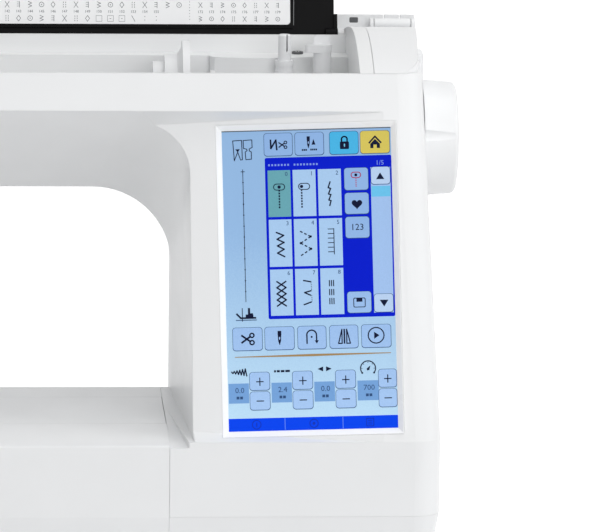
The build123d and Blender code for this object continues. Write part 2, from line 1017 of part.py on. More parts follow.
upper_shaft = rod_x(crank_x, shaft_end_x, shaft_y, shaft_z, shaft_r)
upper_shaft.label = "upper_shaft"
export_step(upper_shaft, "parts/upper_shaft.step")

# Crank disc with its weight on one side
with BuildPart() as crank_disc:
    add(rod_x(crank_x, crank_x + crank_w, shaft_y, shaft_z, crank_r))
    add(
        block(
            crank_x,
            crank_x + crank_w,
            shaft_y - crank_r,
            shaft_y + crank_r,
            shaft_z + shaft_r + 3,
            shaft_z + crank_r,
        ),
        mode=Mode.SUBTRACT,
    )
    add(rod_x(crank_x, crank_x + crank_w, shaft_y, shaft_z, shaft_r), mode=Mode.SUBTRACT)
crank_disc.part.label = "crank_disc"
export_step(crank_disc.part, "parts/crank_disc.step")


def toothed_pulley(x0, width, z, radius, bore, count):
    """A toothed belt pulley along X: radius is the tip of its teeth."""
    face = Plane((x0, shaft_y, z), x_dir=(0, 1, 0), z_dir=(1, 0, 0))
    with BuildPart() as pulley:
        with BuildSketch(face):
            Circle(radius)
            with PolarLocations(radius, count):
                Circle(radius * 1.2 / count, mode=Mode.SUBTRACT)
            Circle(bore, mode=Mode.SUBTRACT)
        extrude(amount=width)
    return pulley.part


upper_pulley = toothed_pulley(timing_x, timing_w, shaft_z, timing_r, shaft_r, 28)
upper_pulley.label = "upper_pulley"
export_step(upper_pulley, "parts/upper_pulley.step")

lower_pulley = toothed_pulley(timing_x, timing_w, lower_z, timing_r, shaft_r, 28)
lower_pulley.label = "lower_pulley"
export_step(lower_pulley, "parts/lower_pulley.step")

drive_pulley = toothed_pulley(drive_x, drive_w, shaft_z, drive_r, shaft_r, 44)
drive_pulley.label = "drive_pulley"
export_step(drive_pulley, "parts/drive_pulley.step")

lower_shaft = rod_x(lower_shaft_x, timing_x + timing_w, shaft_y, lower_z, shaft_r)
lower_shaft.label = "lower_shaft"
export_step(lower_shaft, "parts/lower_shaft.step")

lower_gear = toothed_pulley(needle_x - gear_w / 2, gear_w, lower_z, lower_gear_r, shaft_r, 24)
lower_gear.label = "lower_gear"
export_step(lower_gear, "parts/lower_gear.step")

# Timing belt between the two shafts
with BuildPart() as timing_belt:
    with BuildSketch(Plane((timing_x + 1, 0, 0), x_dir=(0, 1, 0), z_dir=(1, 0, 0))):
        with Locations((shaft_y, (shaft_z + lower_z) / 2)):
            SlotCenterToCenter(shaft_z - lower_z, 2 * (timing_r + fit + belt_t), rotation=90)
            SlotCenterToCenter(shaft_z - lower_z, 2 * (timing_r + fit), rotation=90, mode=Mode.SUBTRACT)
    extrude(amount=timing_w - 2)
timing_belt.part.label = "timing_belt"
export_step(timing_belt.part, "parts/timing_belt.step")

# Motor, its pulley and the drive belt
with BuildPart() as main_motor:
    add(rod_x(motor_x, motor_end_x, motor_y, motor_z, motor_r))
    fillet(main_motor.edges(), 3)
    add(
        rod_x(motor_x + motor_l / 2, motor_end_x, motor_y, motor_z, motor_shaft_r + run_fit),
        mode=Mode.SUBTRACT,
    )
main_motor.part.label = "main_motor"
export_step(main_motor.part, "parts/main_motor.step")

with BuildPart() as motor_pulley:
    add(rod_x(motor_x + motor_l / 2 + 1, drive_x + drive_w, motor_y, motor_z, motor_shaft_r))
    add(rod_x(drive_x, drive_x + drive_w, motor_y, motor_z, motor_pulley_r))
motor_pulley.part.label = "motor_pulley"
export_step(motor_pulley.part, "parts/motor_pulley.step")


def belt_loop(grow):
    """Loop round the drive pulley and the motor's pulley."""
    with BuildSketch(Plane((drive_x + 1, 0, 0), x_dir=(0, 1, 0), z_dir=(1, 0, 0))) as loop:
        with Locations((shaft_y, shaft_z)):
            Circle(drive_r + grow)
        with Locations((motor_y, motor_z)):
            Circle(motor_pulley_r + grow)
        make_hull()
    return loop.sketch


with BuildPart() as drive_belt:
    extrude(belt_loop(fit + belt_t), amount=drive_w - 2)
    extrude(belt_loop(fit), amount=drive_w - 2, mode=Mode.SUBTRACT)
drive_belt.part.label = "drive_belt"
export_step(drive_belt.part, "parts/drive_belt.step")

# Handwheel: a cup with a hub and two grip grooves
wheel_plane = Plane((0, shaft_y, shaft_z), x_dir=(1, 0, 0), z_dir=(0, -1, 0))
with BuildPart() as handwheel:
    with BuildSketch(wheel_plane) as half:
        with BuildLine():
            Polyline(
                (hub_x, shaft_r),
                (hub_x, wheel_hub_r),
                (wheel_end_x - 2 * wall, wheel_hub_r),
                (wheel_end_x - 2 * wall, wheel_r - 2 * wall),
                (wheel_x, wheel_r - wall),
                (wheel_x, wheel_r),
                (wheel_end_x, wheel_r - wheel_taper),
                (wheel_end_x, 0),
                (shaft_end_x, 0),
                (shaft_end_x, shaft_r),
                close=True,
            )
        make_face()
        fillet(half.vertices().group_by(Axis.X)[-1].sort_by(Axis.Y)[-1], wheel_edge_r)
    revolve(axis=Axis((0, shaft_y, shaft_z), (1, 0, 0)))
    groove_out = wheel_r + groove_r - groove_depth
    for side in (-1, 1):
        groove_y = shaft_y + side * groove_out * cos(radians(groove_turn))
        groove_z = shaft_z - side * groove_out * sin(radians(groove_turn))
        add(rod_x(wheel_x, big, groove_y, groove_z, groove_r), mode=Mode.SUBTRACT)
handwheel.part.label = "handwheel"
export_step(handwheel.part, "parts/handwheel.step")

# Raised part of a ring over the handwheel, on the slanting side of the covers
with BuildPart() as cover_block:
    loft([cover_plan(bed_z, 0), cover_plan(rim_z, 0)])

with BuildPart() as wheel_collar:
    add(rod_x(rim_right_x - corner_r, collar_x, shaft_y, shaft_z, collar_r))
    fillet(wheel_collar.edges().group_by(Axis.X)[-1], edge_r)
    add(
        rod_x(rim_right_x - corner_r, collar_x, shaft_y, shaft_z, wheel_r + wheel_gap),
        mode=Mode.SUBTRACT,
    )
    add(
        block(0, big, shaft_y - collar_front, shaft_y + collar_back, shaft_z, big),
        mode=Mode.INTERSECT,
    )
    add(cover_block.part, mode=Mode.SUBTRACT)
    add(rim_block(0, crown_rise).moved(Pos(fit - cap_inset, 0, 0)), mode=Mode.SUBTRACT)
wheel_collar.part.label = "wheel_collar"
export_step(wheel_collar.part, "parts/wheel_collar.step")

# Hook, bobbin case and bobbin, all round one upright axis
hook_plane = Plane((needle_x, hook_y, 0), x_dir=(1, 0, 0), z_dir=(0, -1, 0))
hook_axis = Axis((needle_x, hook_y, 0), (0, 0, 1))
with BuildPart() as hook:
    with BuildSketch(hook_plane):
        with BuildLine():
            Polyline(
                (0, rail_z),
                (stem_r, rail_z),
                (stem_r, hook_z),
                (hook_r, hook_z),
                (hook_r, hook_z + hook_h),
                (hook_r - hook_wall, hook_z + hook_h),
                (hook_r - hook_wall, hook_z + hook_wall),
                (0, hook_z + hook_wall),
                close=True,
            )
        make_face()
    revolve(axis=hook_axis)
    with BuildSketch(Plane((needle_x, hook_y, lower_z - gear_w / 2))):
        Circle(hook_gear_r)
        with PolarLocations(hook_gear_r, 12):
            Circle(hook_gear_r * 0.1, mode=Mode.SUBTRACT)
    extrude(amount=gear_w)
hook.part.label = "hook"
export_step(hook.part, "parts/hook.step")

case_r = hook_r - hook_wall - fit
case_floor_z = hook_z + 2 * hook_wall + fit
case_top_z = hook_z + hook_h + hook_wall + fit
with BuildPart() as bobbin_case:
    with BuildSketch(hook_plane):
        with BuildLine():
            Polyline(
                (0, hook_z + hook_wall + fit),
                (case_r, hook_z + hook_wall + fit),
                (case_r, case_top_z),
                (case_r - hook_wall, case_top_z),
                (case_r - hook_wall, case_floor_z),
                (0, case_floor_z),
                close=True,
            )
        make_face()
    revolve(axis=hook_axis)
    # finger that keeps the case from turning, held under the bobbin cover
    add(
        block(
            needle_x + case_r - hook_wall,
            needle_x + cover_w / 2 - 2 * lip,
            hook_y - stem_r,
            hook_y + stem_r,
            hook_z + hook_h + fit,
            case_top_z,
        )
    )
bobbin_case.part.label = "bobbin_case"
export_step(bobbin_case.part, "parts/bobbin_case.step")

bobbin_z = case_floor_z + 2 * fit
with BuildPart() as bobbin:
    with BuildSketch(hook_plane):
        with BuildLine():
            Polyline(
                (stem_r, bobbin_z),
                (bobbin_r, bobbin_z),
                (bobbin_r, bobbin_z + hook_wall),
                (stem_r + hook_wall, bobbin_z + hook_wall),
                (stem_r + hook_wall, bobbin_z + bobbin_h - hook_wall),
                (bobbin_r, bobbin_z + bobbin_h - hook_wall),
                (bobbin_r, bobbin_z + bobbin_h),
                (stem_r, bobbin_z + bobbin_h),
                close=True,
            )
        make_face()
    revolve(axis=hook_axis)
bobbin.part.label = "bobbin"
export_step(bobbin.part, "parts/bobbin.step")

# Needle bar, clamp and needle
with BuildPart() as needle_bar:
    add(rod_z(needle_x, needle_y, clamp_z + clamp_h / 2, bar_top_z, bar_r))
    chamfer(needle_bar.edges().group_by(Axis.Z)[-1], edge_r)
needle_bar.part.label = "needle_bar"
export_step(needle_bar.part, "parts/needle_bar.step")

with BuildPart() as needle_clamp:
    add(rod_z(needle_x, needle_y, clamp_z, clamp_z + clamp_h, clamp_r))
    add(rod_z(needle_x, needle_y, clamp_z + clamp_h / 2, clamp_z + clamp_h, bar_r), mode=Mode.SUBTRACT)
    add(rod_z(needle_x, needle_y, clamp_z, clamp_z + clamp_h / 2, needle_r), mode=Mode.SUBTRACT)
needle_clamp.part.label = "needle_clamp"
export_step(needle_clamp.part, "parts/needle_clamp.step")

with BuildPart() as clamp_screw:
    add(rod_x(needle_x + clamp_r, needle_x + clamp_r + 5, needle_y, clamp_z + 3, 2.6))
    fillet(clamp_screw.edges().group_by(Axis.X)[-1], edge_r)
    add(block(needle_x, needle_x + big, needle_y - big, needle_y + big, 0, big), mode=Mode.INTERSECT)
    add(rod_z(needle_x, needle_y, clamp_z, clamp_z + clamp_h, clamp_r), mode=Mode.SUBTRACT)
clamp_screw.part.label = "clamp_screw"
export_step(clamp_screw.part, "parts/clamp_screw.step")

with BuildPart() as needle:
    with BuildSketch(Plane((needle_x, needle_y, 0), x_dir=(1, 0, 0), z_dir=(0, -1, 0))):
        with BuildLine():
            Polyline(
                (0, needle_tip_z),
                (needle_r, needle_tip_z + needle_point_l),
                (needle_r, clamp_z + clamp_h / 2),
                (0, clamp_z + clamp_h / 2),
                close=True,
            )
        make_face()
    revolve(axis=Axis((needle_x, needle_y, 0), (0, 0, 1)))
needle.part.label = "needle"
export_step(needle.part, "parts/needle.step")

# Guide for both bars, hung from the frame
with BuildPart() as bar_guide:
    guide_y = (needle_y + bar_r + presser_y - presser_r) / 2
    for z in (guide_z, guide_top_z - lug_w / 2):
        add(
            block(
                needle_x - lug_w * 0.8,
                needle_x + lug_w * 0.8,
                needle_y - lug_w / 2,
                presser_y + lug_w / 2,
                z,
                z + lug_w / 2,
            )
        )
    add(
        block(
            needle_x - lug_w * 0.8,
            needle_x + lug_w * 0.8,
            guide_y - 1.5,
            guide_y + 1.5,
            guide_z,
            guide_top_z,
        )
    )
    add(
        block(
            needle_x - lug_w * 0.8,
            needle_x - lug_w * 0.45,
            guide_y,
            beam_y,
            guide_top_z - lug_w,
            guide_top_z,
        )
    )
    add(rod_z(needle_x, needle_y, head_z, rim_z, bar_r + run_fit), mode=Mode.SUBTRACT)
    add(rod_z(needle_x, presser_y, head_z, rim_z, presser_r + run_fit), mode=Mode.SUBTRACT)
bar_guide.part.label = "bar_guide"
export_step(bar_guide.part, "parts/bar_guide.step")

# Presser bar, foot holder and foot
sole_z = bed_z + foot_gap
with BuildPart() as presser_bar:
    add(rod_z(needle_x, presser_y, holder_z + lug_w, bar_top_z, presser_r))
presser_bar.part.label = "presser_bar"
export_step(presser_bar.part, "parts/presser_bar.step")

with BuildPart() as presser_holder:
    add(
        block(
            needle_x - lug_w / 2,
            needle_x + lug_w / 2,
            presser_y - lug_w / 2 - 1,
            presser_y + lug_w / 2,
            holder_z,
            holder_z + 2 * lug_w,
        )
    )
    fillet(presser_holder.edges().filter_by(Axis.Z), 1.5)
    add(
        rod_z(needle_x, presser_y, holder_z + lug_w, holder_z + 2 * lug_w, presser_r),
        mode=Mode.SUBTRACT,
    )
presser_holder.part.label = "presser_holder"
export_step(presser_holder.part, "parts/presser_holder.step")

with BuildPart() as presser_foot:
    foot_front_y = needle_y - foot_l * 0.45
    add(
        block(
            needle_x - foot_w / 2,
            needle_x + foot_w / 2,
            foot_front_y,
            foot_front_y + foot_l,
            sole_z,
            sole_z + foot_t,
        )
    )
    fillet(presser_foot.edges().filter_by(Axis.Z), 2)
    add(
        block(
            needle_x - lug_w / 2,
            needle_x + lug_w / 2,
            needle_y - 3,
            needle_y + 3,
            sole_z,
            sole_z + foot_t,
        ),
        mode=Mode.SUBTRACT,
    )
    add(
        block(
            needle_x - 1.5,
            needle_x + 1.5,
            foot_front_y,
            needle_y,
            sole_z,
            sole_z + foot_t,
        ),
        mode=Mode.SUBTRACT,
    )
    add(
        block(
            needle_x - lug_w / 4,
            needle_x + lug_w / 4,
            presser_y - lug_w / 2,
            presser_y,
            sole_z + foot_t,
            holder_z,
        )
    )
presser_foot.part.label = "presser_foot"
export_step(presser_foot.part, "parts/presser_foot.step")

# Lever that lifts the presser foot
with BuildPart() as lifter_lever:
    x0 = lifter_x - lifter_w / 2
    x1 = lifter_x + lifter_w / 2
    add(rod_x(x0, x1, lifter_y, lifter_z, lifter_w))
    add(block(x0, x1, lifter_y - lifter_w / 2, lifter_y + lifter_w / 2, lifter_z - lifter_l, lifter_z))
    fillet(lifter_lever.edges().group_by(Axis.Z)[0], lifter_w / 5)
    add(rod_x(x0, x1, lifter_y, lifter_z, lifter_pin_r + run_fit), mode=Mode.SUBTRACT)
lifter_lever.part.label = "lifter_lever"
export_step(lifter_lever.part, "parts/lifter_lever.step")

# Take-up lever in its slot
rise = radians(take_up_rise)
with BuildPart() as take_up_lever:
    side = Plane((take_up_x + take_up_t / 2, take_up_y, take_up_z), x_dir=(0, -1, 0), z_dir=(-1, 0, 0))
    with BuildSketch(side):
        Circle(2 * take_up_pin_r)
        with Locations((take_up_l / 2 * cos(rise), take_up_l / 2 * sin(rise))):
            SlotOverall(take_up_l, 3 * take_up_t, rotation=take_up_rise)
        Circle(take_up_pin_r + run_fit, mode=Mode.SUBTRACT)
        eye = take_up_l - 2 * take_up_t
        with Locations((eye * cos(rise), eye * sin(rise))):
            Circle(take_up_t / 2, mode=Mode.SUBTRACT)
    extrude(amount=take_up_t)
take_up_lever.part.label = "take_up_lever"
export_step(take_up_lever.part, "parts/take_up_lever.step")

# Thread tray with an arch at each end
tray_front_y = rim_y + wall + fit
tray_ends = ((arch_in_x, arch_out_x), (rim_left_x, arch_left_x))
with BuildPart() as top_tray:
    # trough
    front = trough_front_y - tray_t
    back = trough_back_y + tray_t
    under = front_ledge_z - tray_t
    add(block(trough_left_x - tray_t, arch_out_x, front, back, tray_floor_z, ledge_z))
    add(
        block(trough_left_x, arch_in_x, trough_front_y, trough_back_y, tray_floor_z + tray_t, ledge_z),
        mode=Mode.SUBTRACT,
    )
    add(
        block(trough_left_x - tray_t, arch_in_x, front, trough_back_y, front_ledge_z, ledge_z),
        mode=Mode.SUBTRACT,
    )
    # ledges round the trough and walls up to the rim
    add(block(arch_left_x, arch_in_x, trough_back_y, ledge_back_y, under, ledge_z))
    add(block(arch_left_x, arch_in_x, tray_front_y, trough_front_y, under, front_ledge_z))
    add(block(arch_left_x, trough_left_x, tray_front_y, trough_back_y, under, front_ledge_z))
    add(block(arch_left_x, arch_in_x, tray_front_y, tray_front_y + tray_t, under, rim_z - tray_lip))
    add(block(arch_left_x, arch_in_x, ledge_back_y - tray_t, ledge_back_y, under, rim_z))
    for x0, x1 in tray_ends:
        add(block(x0, x1, tray_front_y, deck_front_y - fit, under, rim_z))
    # block beside the winder, winder floor and cradle of the spool pin
    with BuildSketch(Plane.XY.offset(tray_floor_z)):
        with BuildLine():
            ThreePointArc(*block_front)
            Polyline(
                block_front[2],
                (arch_in_x, block_front[2][1]),
                (arch_in_x, trough_back_y),
                (post_x, trough_back_y),
                (post_x, block_end_y),
                block_front[0],
            )
        make_face()
    extrude(amount=ledge_z - tray_floor_z)
    add(block(winder_floor_x, arch_in_x, winder_front_y, trough_back_y, tray_floor_z, winder_base_z))
    add(
        block(
            post_x,
            post_x + post_w,
            pin_y - 2 * pin_r,
            trough_back_y,
            tray_floor_z,
            pin_z + post_rise,
        )
    )
    add(rim_block(wall + fit, tray_floor_z - rim_z), mode=Mode.INTERSECT)
    # wall behind the ledge
    add(block(arch_left_x, arch_in_x, back_wall_y, back_wall_y + tray_t, under, back_wall_z))
    # crowned arches above the rim, with the lid's pins
    for x0, x1 in tray_ends:
        add(crown_block(x0, x1, 0))
    add(rod_x(lid_right_x - hinge_w + fit, arch_in_x, hinge_y, hinge_z, hinge_pin_r))
    add(rod_x(arch_left_x, lid_left_x + hinge_w - fit, hinge_y, hinge_z, hinge_pin_r))
    # bores for spool pin, spindle, stop and screw
    add(rod_x(post_x, post_x + post_w, pin_y, pin_z, pin_r), mode=Mode.SUBTRACT)
    for x, y in ((winder_x, winder_y), (stop_x, stop_y)):
        add(
            rod_z(x, y, winder_base_z - journal_l - fit, winder_base_z, journal_r + run_fit),
            mode=Mode.SUBTRACT,
        )
    add(rod_z(tray_screw_x, tray_screw_y, ledge_z - tray_t, ledge_z, screw_r), mode=Mode.SUBTRACT)
top_tray.part.label = "top_tray"
export_step(top_tray.part, "parts/top_tray.step")

with BuildPart() as tray_screw:
    with Locations((tray_screw_x, tray_screw_y, ledge_z)):
        Cylinder(1.5 * screw_r, screw_head_t, align=(Align.CENTER, Align.CENTER, Align.MIN))
        Cylinder(screw_r, tray_t, align=(Align.CENTER, Align.CENTER, Align.MAX))
    with BuildSketch(Plane((tray_screw_x, tray_screw_y, ledge_z + screw_head_t))):
        Rectangle(2 * screw_r, screw_slot_w)
        Rectangle(screw_slot_w, 2 * screw_r)
    extrude(amount=-screw_slot_w, mode=Mode.SUBTRACT)
tray_screw.part.label = "tray_screw"
export_step(tray_screw.part, "parts/tray_screw.step")

# Crowned cap over the column's end
cap_left_x = arch_out_x + fit / 2
cap_end_x = right_x + side_flare


def cap_form(x0, drop):
    """The cap's form, set back from the covers' side and drawn in by a wall."""
    with BuildPart() as piece:
        extrude(crown_section(x0, drop), amount=cap_end_x - x0)
        add(rim_block(drop, 2 * crown_rise).moved(Pos(-cap_inset, 0, 0)), mode=Mode.INTERSECT)
    return piece.part


with BuildPart() as top_end_cap:
    add(cap_form(cap_left_x, 0))
    with BuildPart(mode=Mode.PRIVATE) as room:
        add(cap_form(cap_left_x + wall, wall))
        add(
            block(arch_out_x, cap_end_x, rim_y, deck_front_y - fit - wall, rim_z, big),
            mode=Mode.INTERSECT,
        )
    add(room.part, mode=Mode.SUBTRACT)
top_end_cap.part.label = "top_end_cap"
export_step(top_end_cap.part, "parts/top_end_cap.step")

# Lid, drawn shut and then swung open on its hinge
hinge_axis = Axis((0, hinge_y, hinge_z), (1, 0, 0))
with BuildPart() as shut_lid:
    add(crown_layer(0, lid_t, lid_left_x, lid_right_x, rim_y + fit, hinge_y))
    for x0, x1 in ((lid_left_x - ear_w, lid_left_x), (lid_right_x, lid_right_x + ear_w)):
        add(crown_layer(0, ear_t, x0, x1, hinge_y - ear_l, hinge_y))
    for x0, x1 in ((lid_left_x - ear_w, lid_left_x + hinge_w), (lid_right_x - hinge_w, lid_right_x + ear_w)):
        add(rod_x(x0, x1, hinge_y, hinge_z, hinge_r))
        add(rod_x(x0, x1, hinge_y, hinge_z, hinge_pin_r + run_fit), mode=Mode.SUBTRACT)
lid_shell = shut_lid.part.rotate(hinge_axis, -lid_open)
lid_shell.label = "lid_shell"
export_step(lid_shell, "parts/lid_shell.step")

liner_drop = lid_t + fit
shut_liner = crown_layer(
    liner_drop,
    liner_t,
    card_left_x - liner_margin,
    card_right_x + liner_margin,
    rim_y + 2 * liner_in,
    hinge_y - liner_back,
)
lid_liner = shut_liner.rotate(hinge_axis, -lid_open)
lid_liner.label = "lid_liner"
export_step(lid_liner, "parts/lid_liner.step")

card_drop = liner_drop + liner_t + fit
shut_card = crown_layer(card_drop, card_t, card_left_x, card_right_x, card_front_y, card_back_y)
stitch_card = shut_card.rotate(hinge_axis, -lid_open)
stitch_card.label = "stitch_card"
export_step(stitch_card, "parts/stitch_card.step")

# Spool pin and its cap
spool_pin = rod_x(post_x + post_w - pin_l, post_x + post_w, pin_y, pin_z, pin_r)
spool_pin.label = "spool_pin"
export_step(spool_pin, "parts/spool_pin.step")

cap_hub_x = cap_x + cap_stub_l + cap_hub_l
cap_disc_x = cap_hub_x + cap_cone_l
with BuildPart() as spool_cap:
    with BuildSketch(Plane((0, pin_y, pin_z), x_dir=(1, 0, 0), z_dir=(0, -1, 0))):
        with BuildLine():
            Polyline(
                (cap_x, pin_r + fit),
                (cap_x, cap_stub_r),
                (cap_x + cap_stub_l, cap_stub_r),
                (cap_x + cap_stub_l, cap_hub_r),
                (cap_hub_x, cap_hub_r),
                (cap_disc_x, cap_cone_r),
                (cap_disc_x, cap_r),
                (cap_disc_x + cap_disc_t, cap_r),
                (cap_disc_x + cap_disc_t, pin_r + fit),
                close=True,
            )
        make_face()
    revolve(axis=Axis((0, pin_y, pin_z), (1, 0, 0)))
spool_cap.part.label = "spool_cap"
export_step(spool_cap.part, "parts/spool_cap.step")

# Bobbin winder spindle
with BuildPart() as winder_spindle:
    add(rod_z(winder_x, winder_y, winder_base_z - journal_l, winder_base_z + fit, journal_r))
    add(rod_z(winder_x, winder_y, winder_base_z + fit, winder_top_z, spindle_r))
    add(rod_z(winder_x, winder_y, flange_zs[0], flange_zs[1], spindle_r + 2 * edge_r))
    for z in flange_zs:
        add(rod_z(winder_x, winder_y, z, z + flange_t, flange_r))
    chamfer(winder_spindle.edges().group_by(Axis.Z)[-1], edge_r)
    add(
        block(
            winder_x + edge_r,
            winder_x + edge_r + slit_w,
            winder_y - spindle_r,
            winder_y,
            winder_top_z - slit_l,
            winder_top_z,
        ),
        mode=Mode.SUBTRACT,
    )
winder_spindle.part.label = "winder_spindle"
export_step(winder_spindle.part, "parts/winder_spindle.step")

# Winder stop: a small lever on a post
with BuildPart() as winder_stop:
    add(rod_z(stop_x, stop_y, winder_base_z - journal_l, winder_base_z + fit, journal_r))
    add(rod_z(stop_x, stop_y, winder_base_z + fit, stop_z, stop_post_r))
    with BuildSketch(Plane((stop_x, stop_y, stop_z))):
        Circle(flange_r)
        with Locations((-stop_reach, -stop_reach / 3)):
            Circle(stop_post_r / 2)
        make_hull()
    extrude(amount=stop_t)
    tab_plane = Plane((stop_x, stop_y + flange_t, stop_z + stop_t), x_dir=(1, 0, 0), z_dir=(0, 1, 0))
    with BuildSketch(tab_plane):
        RectangleRounded(2 * stop_tab_r, 2 * stop_tab_h, stop_tab_round)
        with Locations((0, flange_r)):
            Rectangle(3 * flange_r, 2 * flange_r, mode=Mode.SUBTRACT)
    extrude(amount=slit_w * 2)
winder_stop.part.label = "winder_stop"
export_step(winder_stop.part, "parts/winder_stop.step")

# Carry handle, hung down behind the rear cover
with BuildPart() as carry_handle:
    for x in (handle_x, handle_left_x):
        add(rod_x(x, x + handle_l, handle_y, handle_z, handle_r))
        add(rod_x(x - lug_t - fit, x + handle_l + lug_t + fit, handle_y, handle_z, handle_pin_r))
        arm_x = x + (handle_l - handle_arm_w) / 2
        back_y = handle_y + handle_reach
        add(
            block(
                arm_x,
                arm_x + handle_arm_w,
                handle_y,
                back_y + handle_r,
                handle_z - handle_r,
                handle_z,
            )
        )
        # raised part that closes the notch in the rear rim
        add(block(arm_x, arm_x + handle_arm_w, rear_y - rear_rim_t, rear_y, handle_z, rear_rim_z))
        add(
            block(
                arm_x,
                arm_x + handle_arm_w,
                back_y - handle_r,
                back_y + handle_r,
                handle_z - handle_drop,
                handle_z,
            )
        )
    add(
        rod_x(
            handle_left_x + (handle_l - handle_arm_w) / 2,
            handle_x + (handle_l + handle_arm_w) / 2,
            handle_y + handle_reach,
            handle_z - handle_drop,
            grip_r,
        )
    )
carry_handle.part.label = "carry_handle"
export_step(carry_handle.part, "parts/carry_handle.step")

# Screen: bevelled frame, glass and display module
with BuildPart() as screen_bezel:
    with BuildSketch(screen_plane):
        Rectangle(screen_w + 2 * bezel_w, screen_h + 2 * bezel_w)
    extrude(amount=-bezel_t)
    with BuildSketch(screen_plane):
        Rectangle(screen_w + 2 * (bezel_w - bezel_lip), screen_h + 2 * (bezel_w - bezel_lip))
    with BuildSketch(screen_plane.offset(-glass_sink)):
        Rectangle(screen_w, screen_h)
    loft(mode=Mode.SUBTRACT)
    with BuildSketch(screen_plane.offset(-glass_sink)):
        Rectangle(screen_w + 2 * glass_edge, screen_h + 2 * glass_edge)
    extrude(amount=-bezel_t, mode=Mode.SUBTRACT)
screen_bezel.part.label = "screen_bezel"
export_step(screen_bezel.part, "parts/screen_bezel.step")

with BuildPart() as touch_glass:
    with BuildSketch(screen_plane.offset(-glass_sink)):
        Rectangle(screen_w + 2 * glass_edge - fit, screen_h + 2 * glass_edge - fit)
    extrude(amount=-glass_t)
touch_glass.part.label = "touch_glass"
export_step(touch_glass.part, "parts/touch_glass.step")

with BuildPart() as lcd_module:
    with BuildSketch(screen_plane.offset(-glass_sink - glass_t)):
        Rectangle(screen_w + 2 * glass_edge - fit, screen_h + 2 * glass_edge - fit)
    extrude(amount=-module_t)
    with BuildSketch(screen_plane.offset(-bezel_t)):
        Rectangle(screen_w + 4 * bezel_w, screen_h + 4 * bezel_w)
        Rectangle(screen_w + glass_edge, screen_h + glass_edge, mode=Mode.SUBTRACT)
    extrude(amount=-module_rim_t)
lcd_module.part.label = "lcd_module"
export_step(lcd_module.part, "parts/lcd_module.step")

# Control board with its larger components
with BuildPart() as main_board:
    add(block(board_x, board_x + board_w, board_y - board_t, board_y, board_z, board_z + board_h))
    board_mid = (board_x + board_w / 2, board_y - board_t, board_z + board_h / 2)
    with BuildSketch(Plane(board_mid, x_dir=(1, 0, 0), z_dir=(0, -1, 0))):
        with Locations((-board_w / 4, board_h / 4)):
            Rectangle(chip_w, chip_w)
        with Locations((board_w / 4, board_h / 10)):
            Rectangle(chip_w, 2 * chip_w)
    extrude(amount=chip_t)
    with BuildSketch(Plane(board_mid, x_dir=(1, 0, 0), z_dir=(0, -1, 0))):
        with Locations((0, -board_h / 4)):
            with GridLocations(1.2 * chip_w, 0, 3, 1):
                Circle(chip_w / 2)
    extrude(amount=chip_w)
main_board.part.label = "main_board"
export_step(main_board.part, "parts/main_board.step")


def push_button(x):
    """A round button with a flange behind the cover."""
    with BuildPart() as button:
        with BuildSketch(front_plane(x, button_z).offset(-2 * wall)):
            Circle(button_r)
        extrude(amount=2 * wall + button_rise)
        fillet(button.edges().group_by(Axis.Y)[0], edge_r)
        with BuildSketch(front_plane(x, button_z).offset(-wall - fit)):
            Circle(button_r + button_flange)
        extrude(amount=-wall)
    return button.part


start_button = push_button(button_xs[0])
start_button.label = "start_button"
export_step(start_button, "parts/start_button.step")

reverse_button = push_button(button_xs[1])
reverse_button.label = "reverse_button"
export_step(reverse_button, "parts/reverse_button.step")

with BuildPart() as speed_slider:
    with BuildSketch(front_plane(slider_x, slider_z).offset(fit)):
        SlotOverall(4 * slider_stem, 3 * slider_stem, rotation=90)
    extrude(amount=slider_rise)
    with BuildSketch(front_plane(slider_x, slider_z).offset(-2 * wall)):
        Rectangle(slider_stem, slider_stem)
    extrude(amount=2 * wall + fit)
speed_slider.part.label = "speed_slider"
export_step(speed_slider.part, "parts/speed_slider.step")

# Mains inlet and switch in the rear wall
with BuildPart() as power_inlet:
    x0 = inlet_x - socket_w / 2
    x1 = inlet_x + socket_w / 2
    z0 = socket_z - socket_h / 2
    z1 = socket_z + socket_h / 2
    add(block(x0, x1, rear_y - socket_d, rear_y, z0, z1))
    add(
        block(x0 + wall, x1 - wall, rear_y - socket_d + wall, rear_y, z0 + wall, z1 - wall),
        mode=Mode.SUBTRACT,
    )
    for x in (inlet_x - socket_w / 6, inlet_x + socket_w / 6):
        add(
            block(
                x - contact_r,
                x + contact_r,
                rear_y - socket_d,
                rear_y - wall,
                socket_z - 2 * contact_r,
                socket_z + 2 * contact_r,
            )
        )
power_inlet.part.label = "power_inlet"
export_step(power_inlet.part, "parts/power_inlet.step")

with BuildPart() as switch_case:
    x0 = switch_x - socket_w / 2
    x1 = switch_x + socket_w / 2
    add(block(x0, x1, rear_y - socket_d, rear_y, z0, z1))
    add(
        block(x0 + wall, x1 - wall, rear_y - socket_d + wall, rear_y, z0 + wall, z1 - wall),
        mode=Mode.SUBTRACT,
    )
switch_case.part.label = "switch_case"
export_step(switch_case.part, "parts/switch_case.step")

with BuildPart() as power_switch:
    rocker_y = rear_y - socket_d / 2
    with BuildSketch(Plane((switch_x, rocker_y, z0 + wall + fit), x_dir=(1, 0, 0))):
        with BuildLine():
            half = socket_w / 2 - wall - 4 * fit
            Polyline(
                (-half, 0),
                (-half * 0.7, -socket_d / 5),
                (half * 0.7, -socket_d / 5),
                (half, 0),
                (half, socket_d / 3),
                (0, socket_d / 4),
                (-half, socket_d / 3),
                close=True,
            )
        make_face()
    extrude(amount=socket_h - 2 * wall - 2 * fit)
power_switch.part.label = "power_switch"
export_step(power_switch.part, "parts/power_switch.step")
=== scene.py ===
import math

import bpy
import numpy as np
from mathutils import Matrix


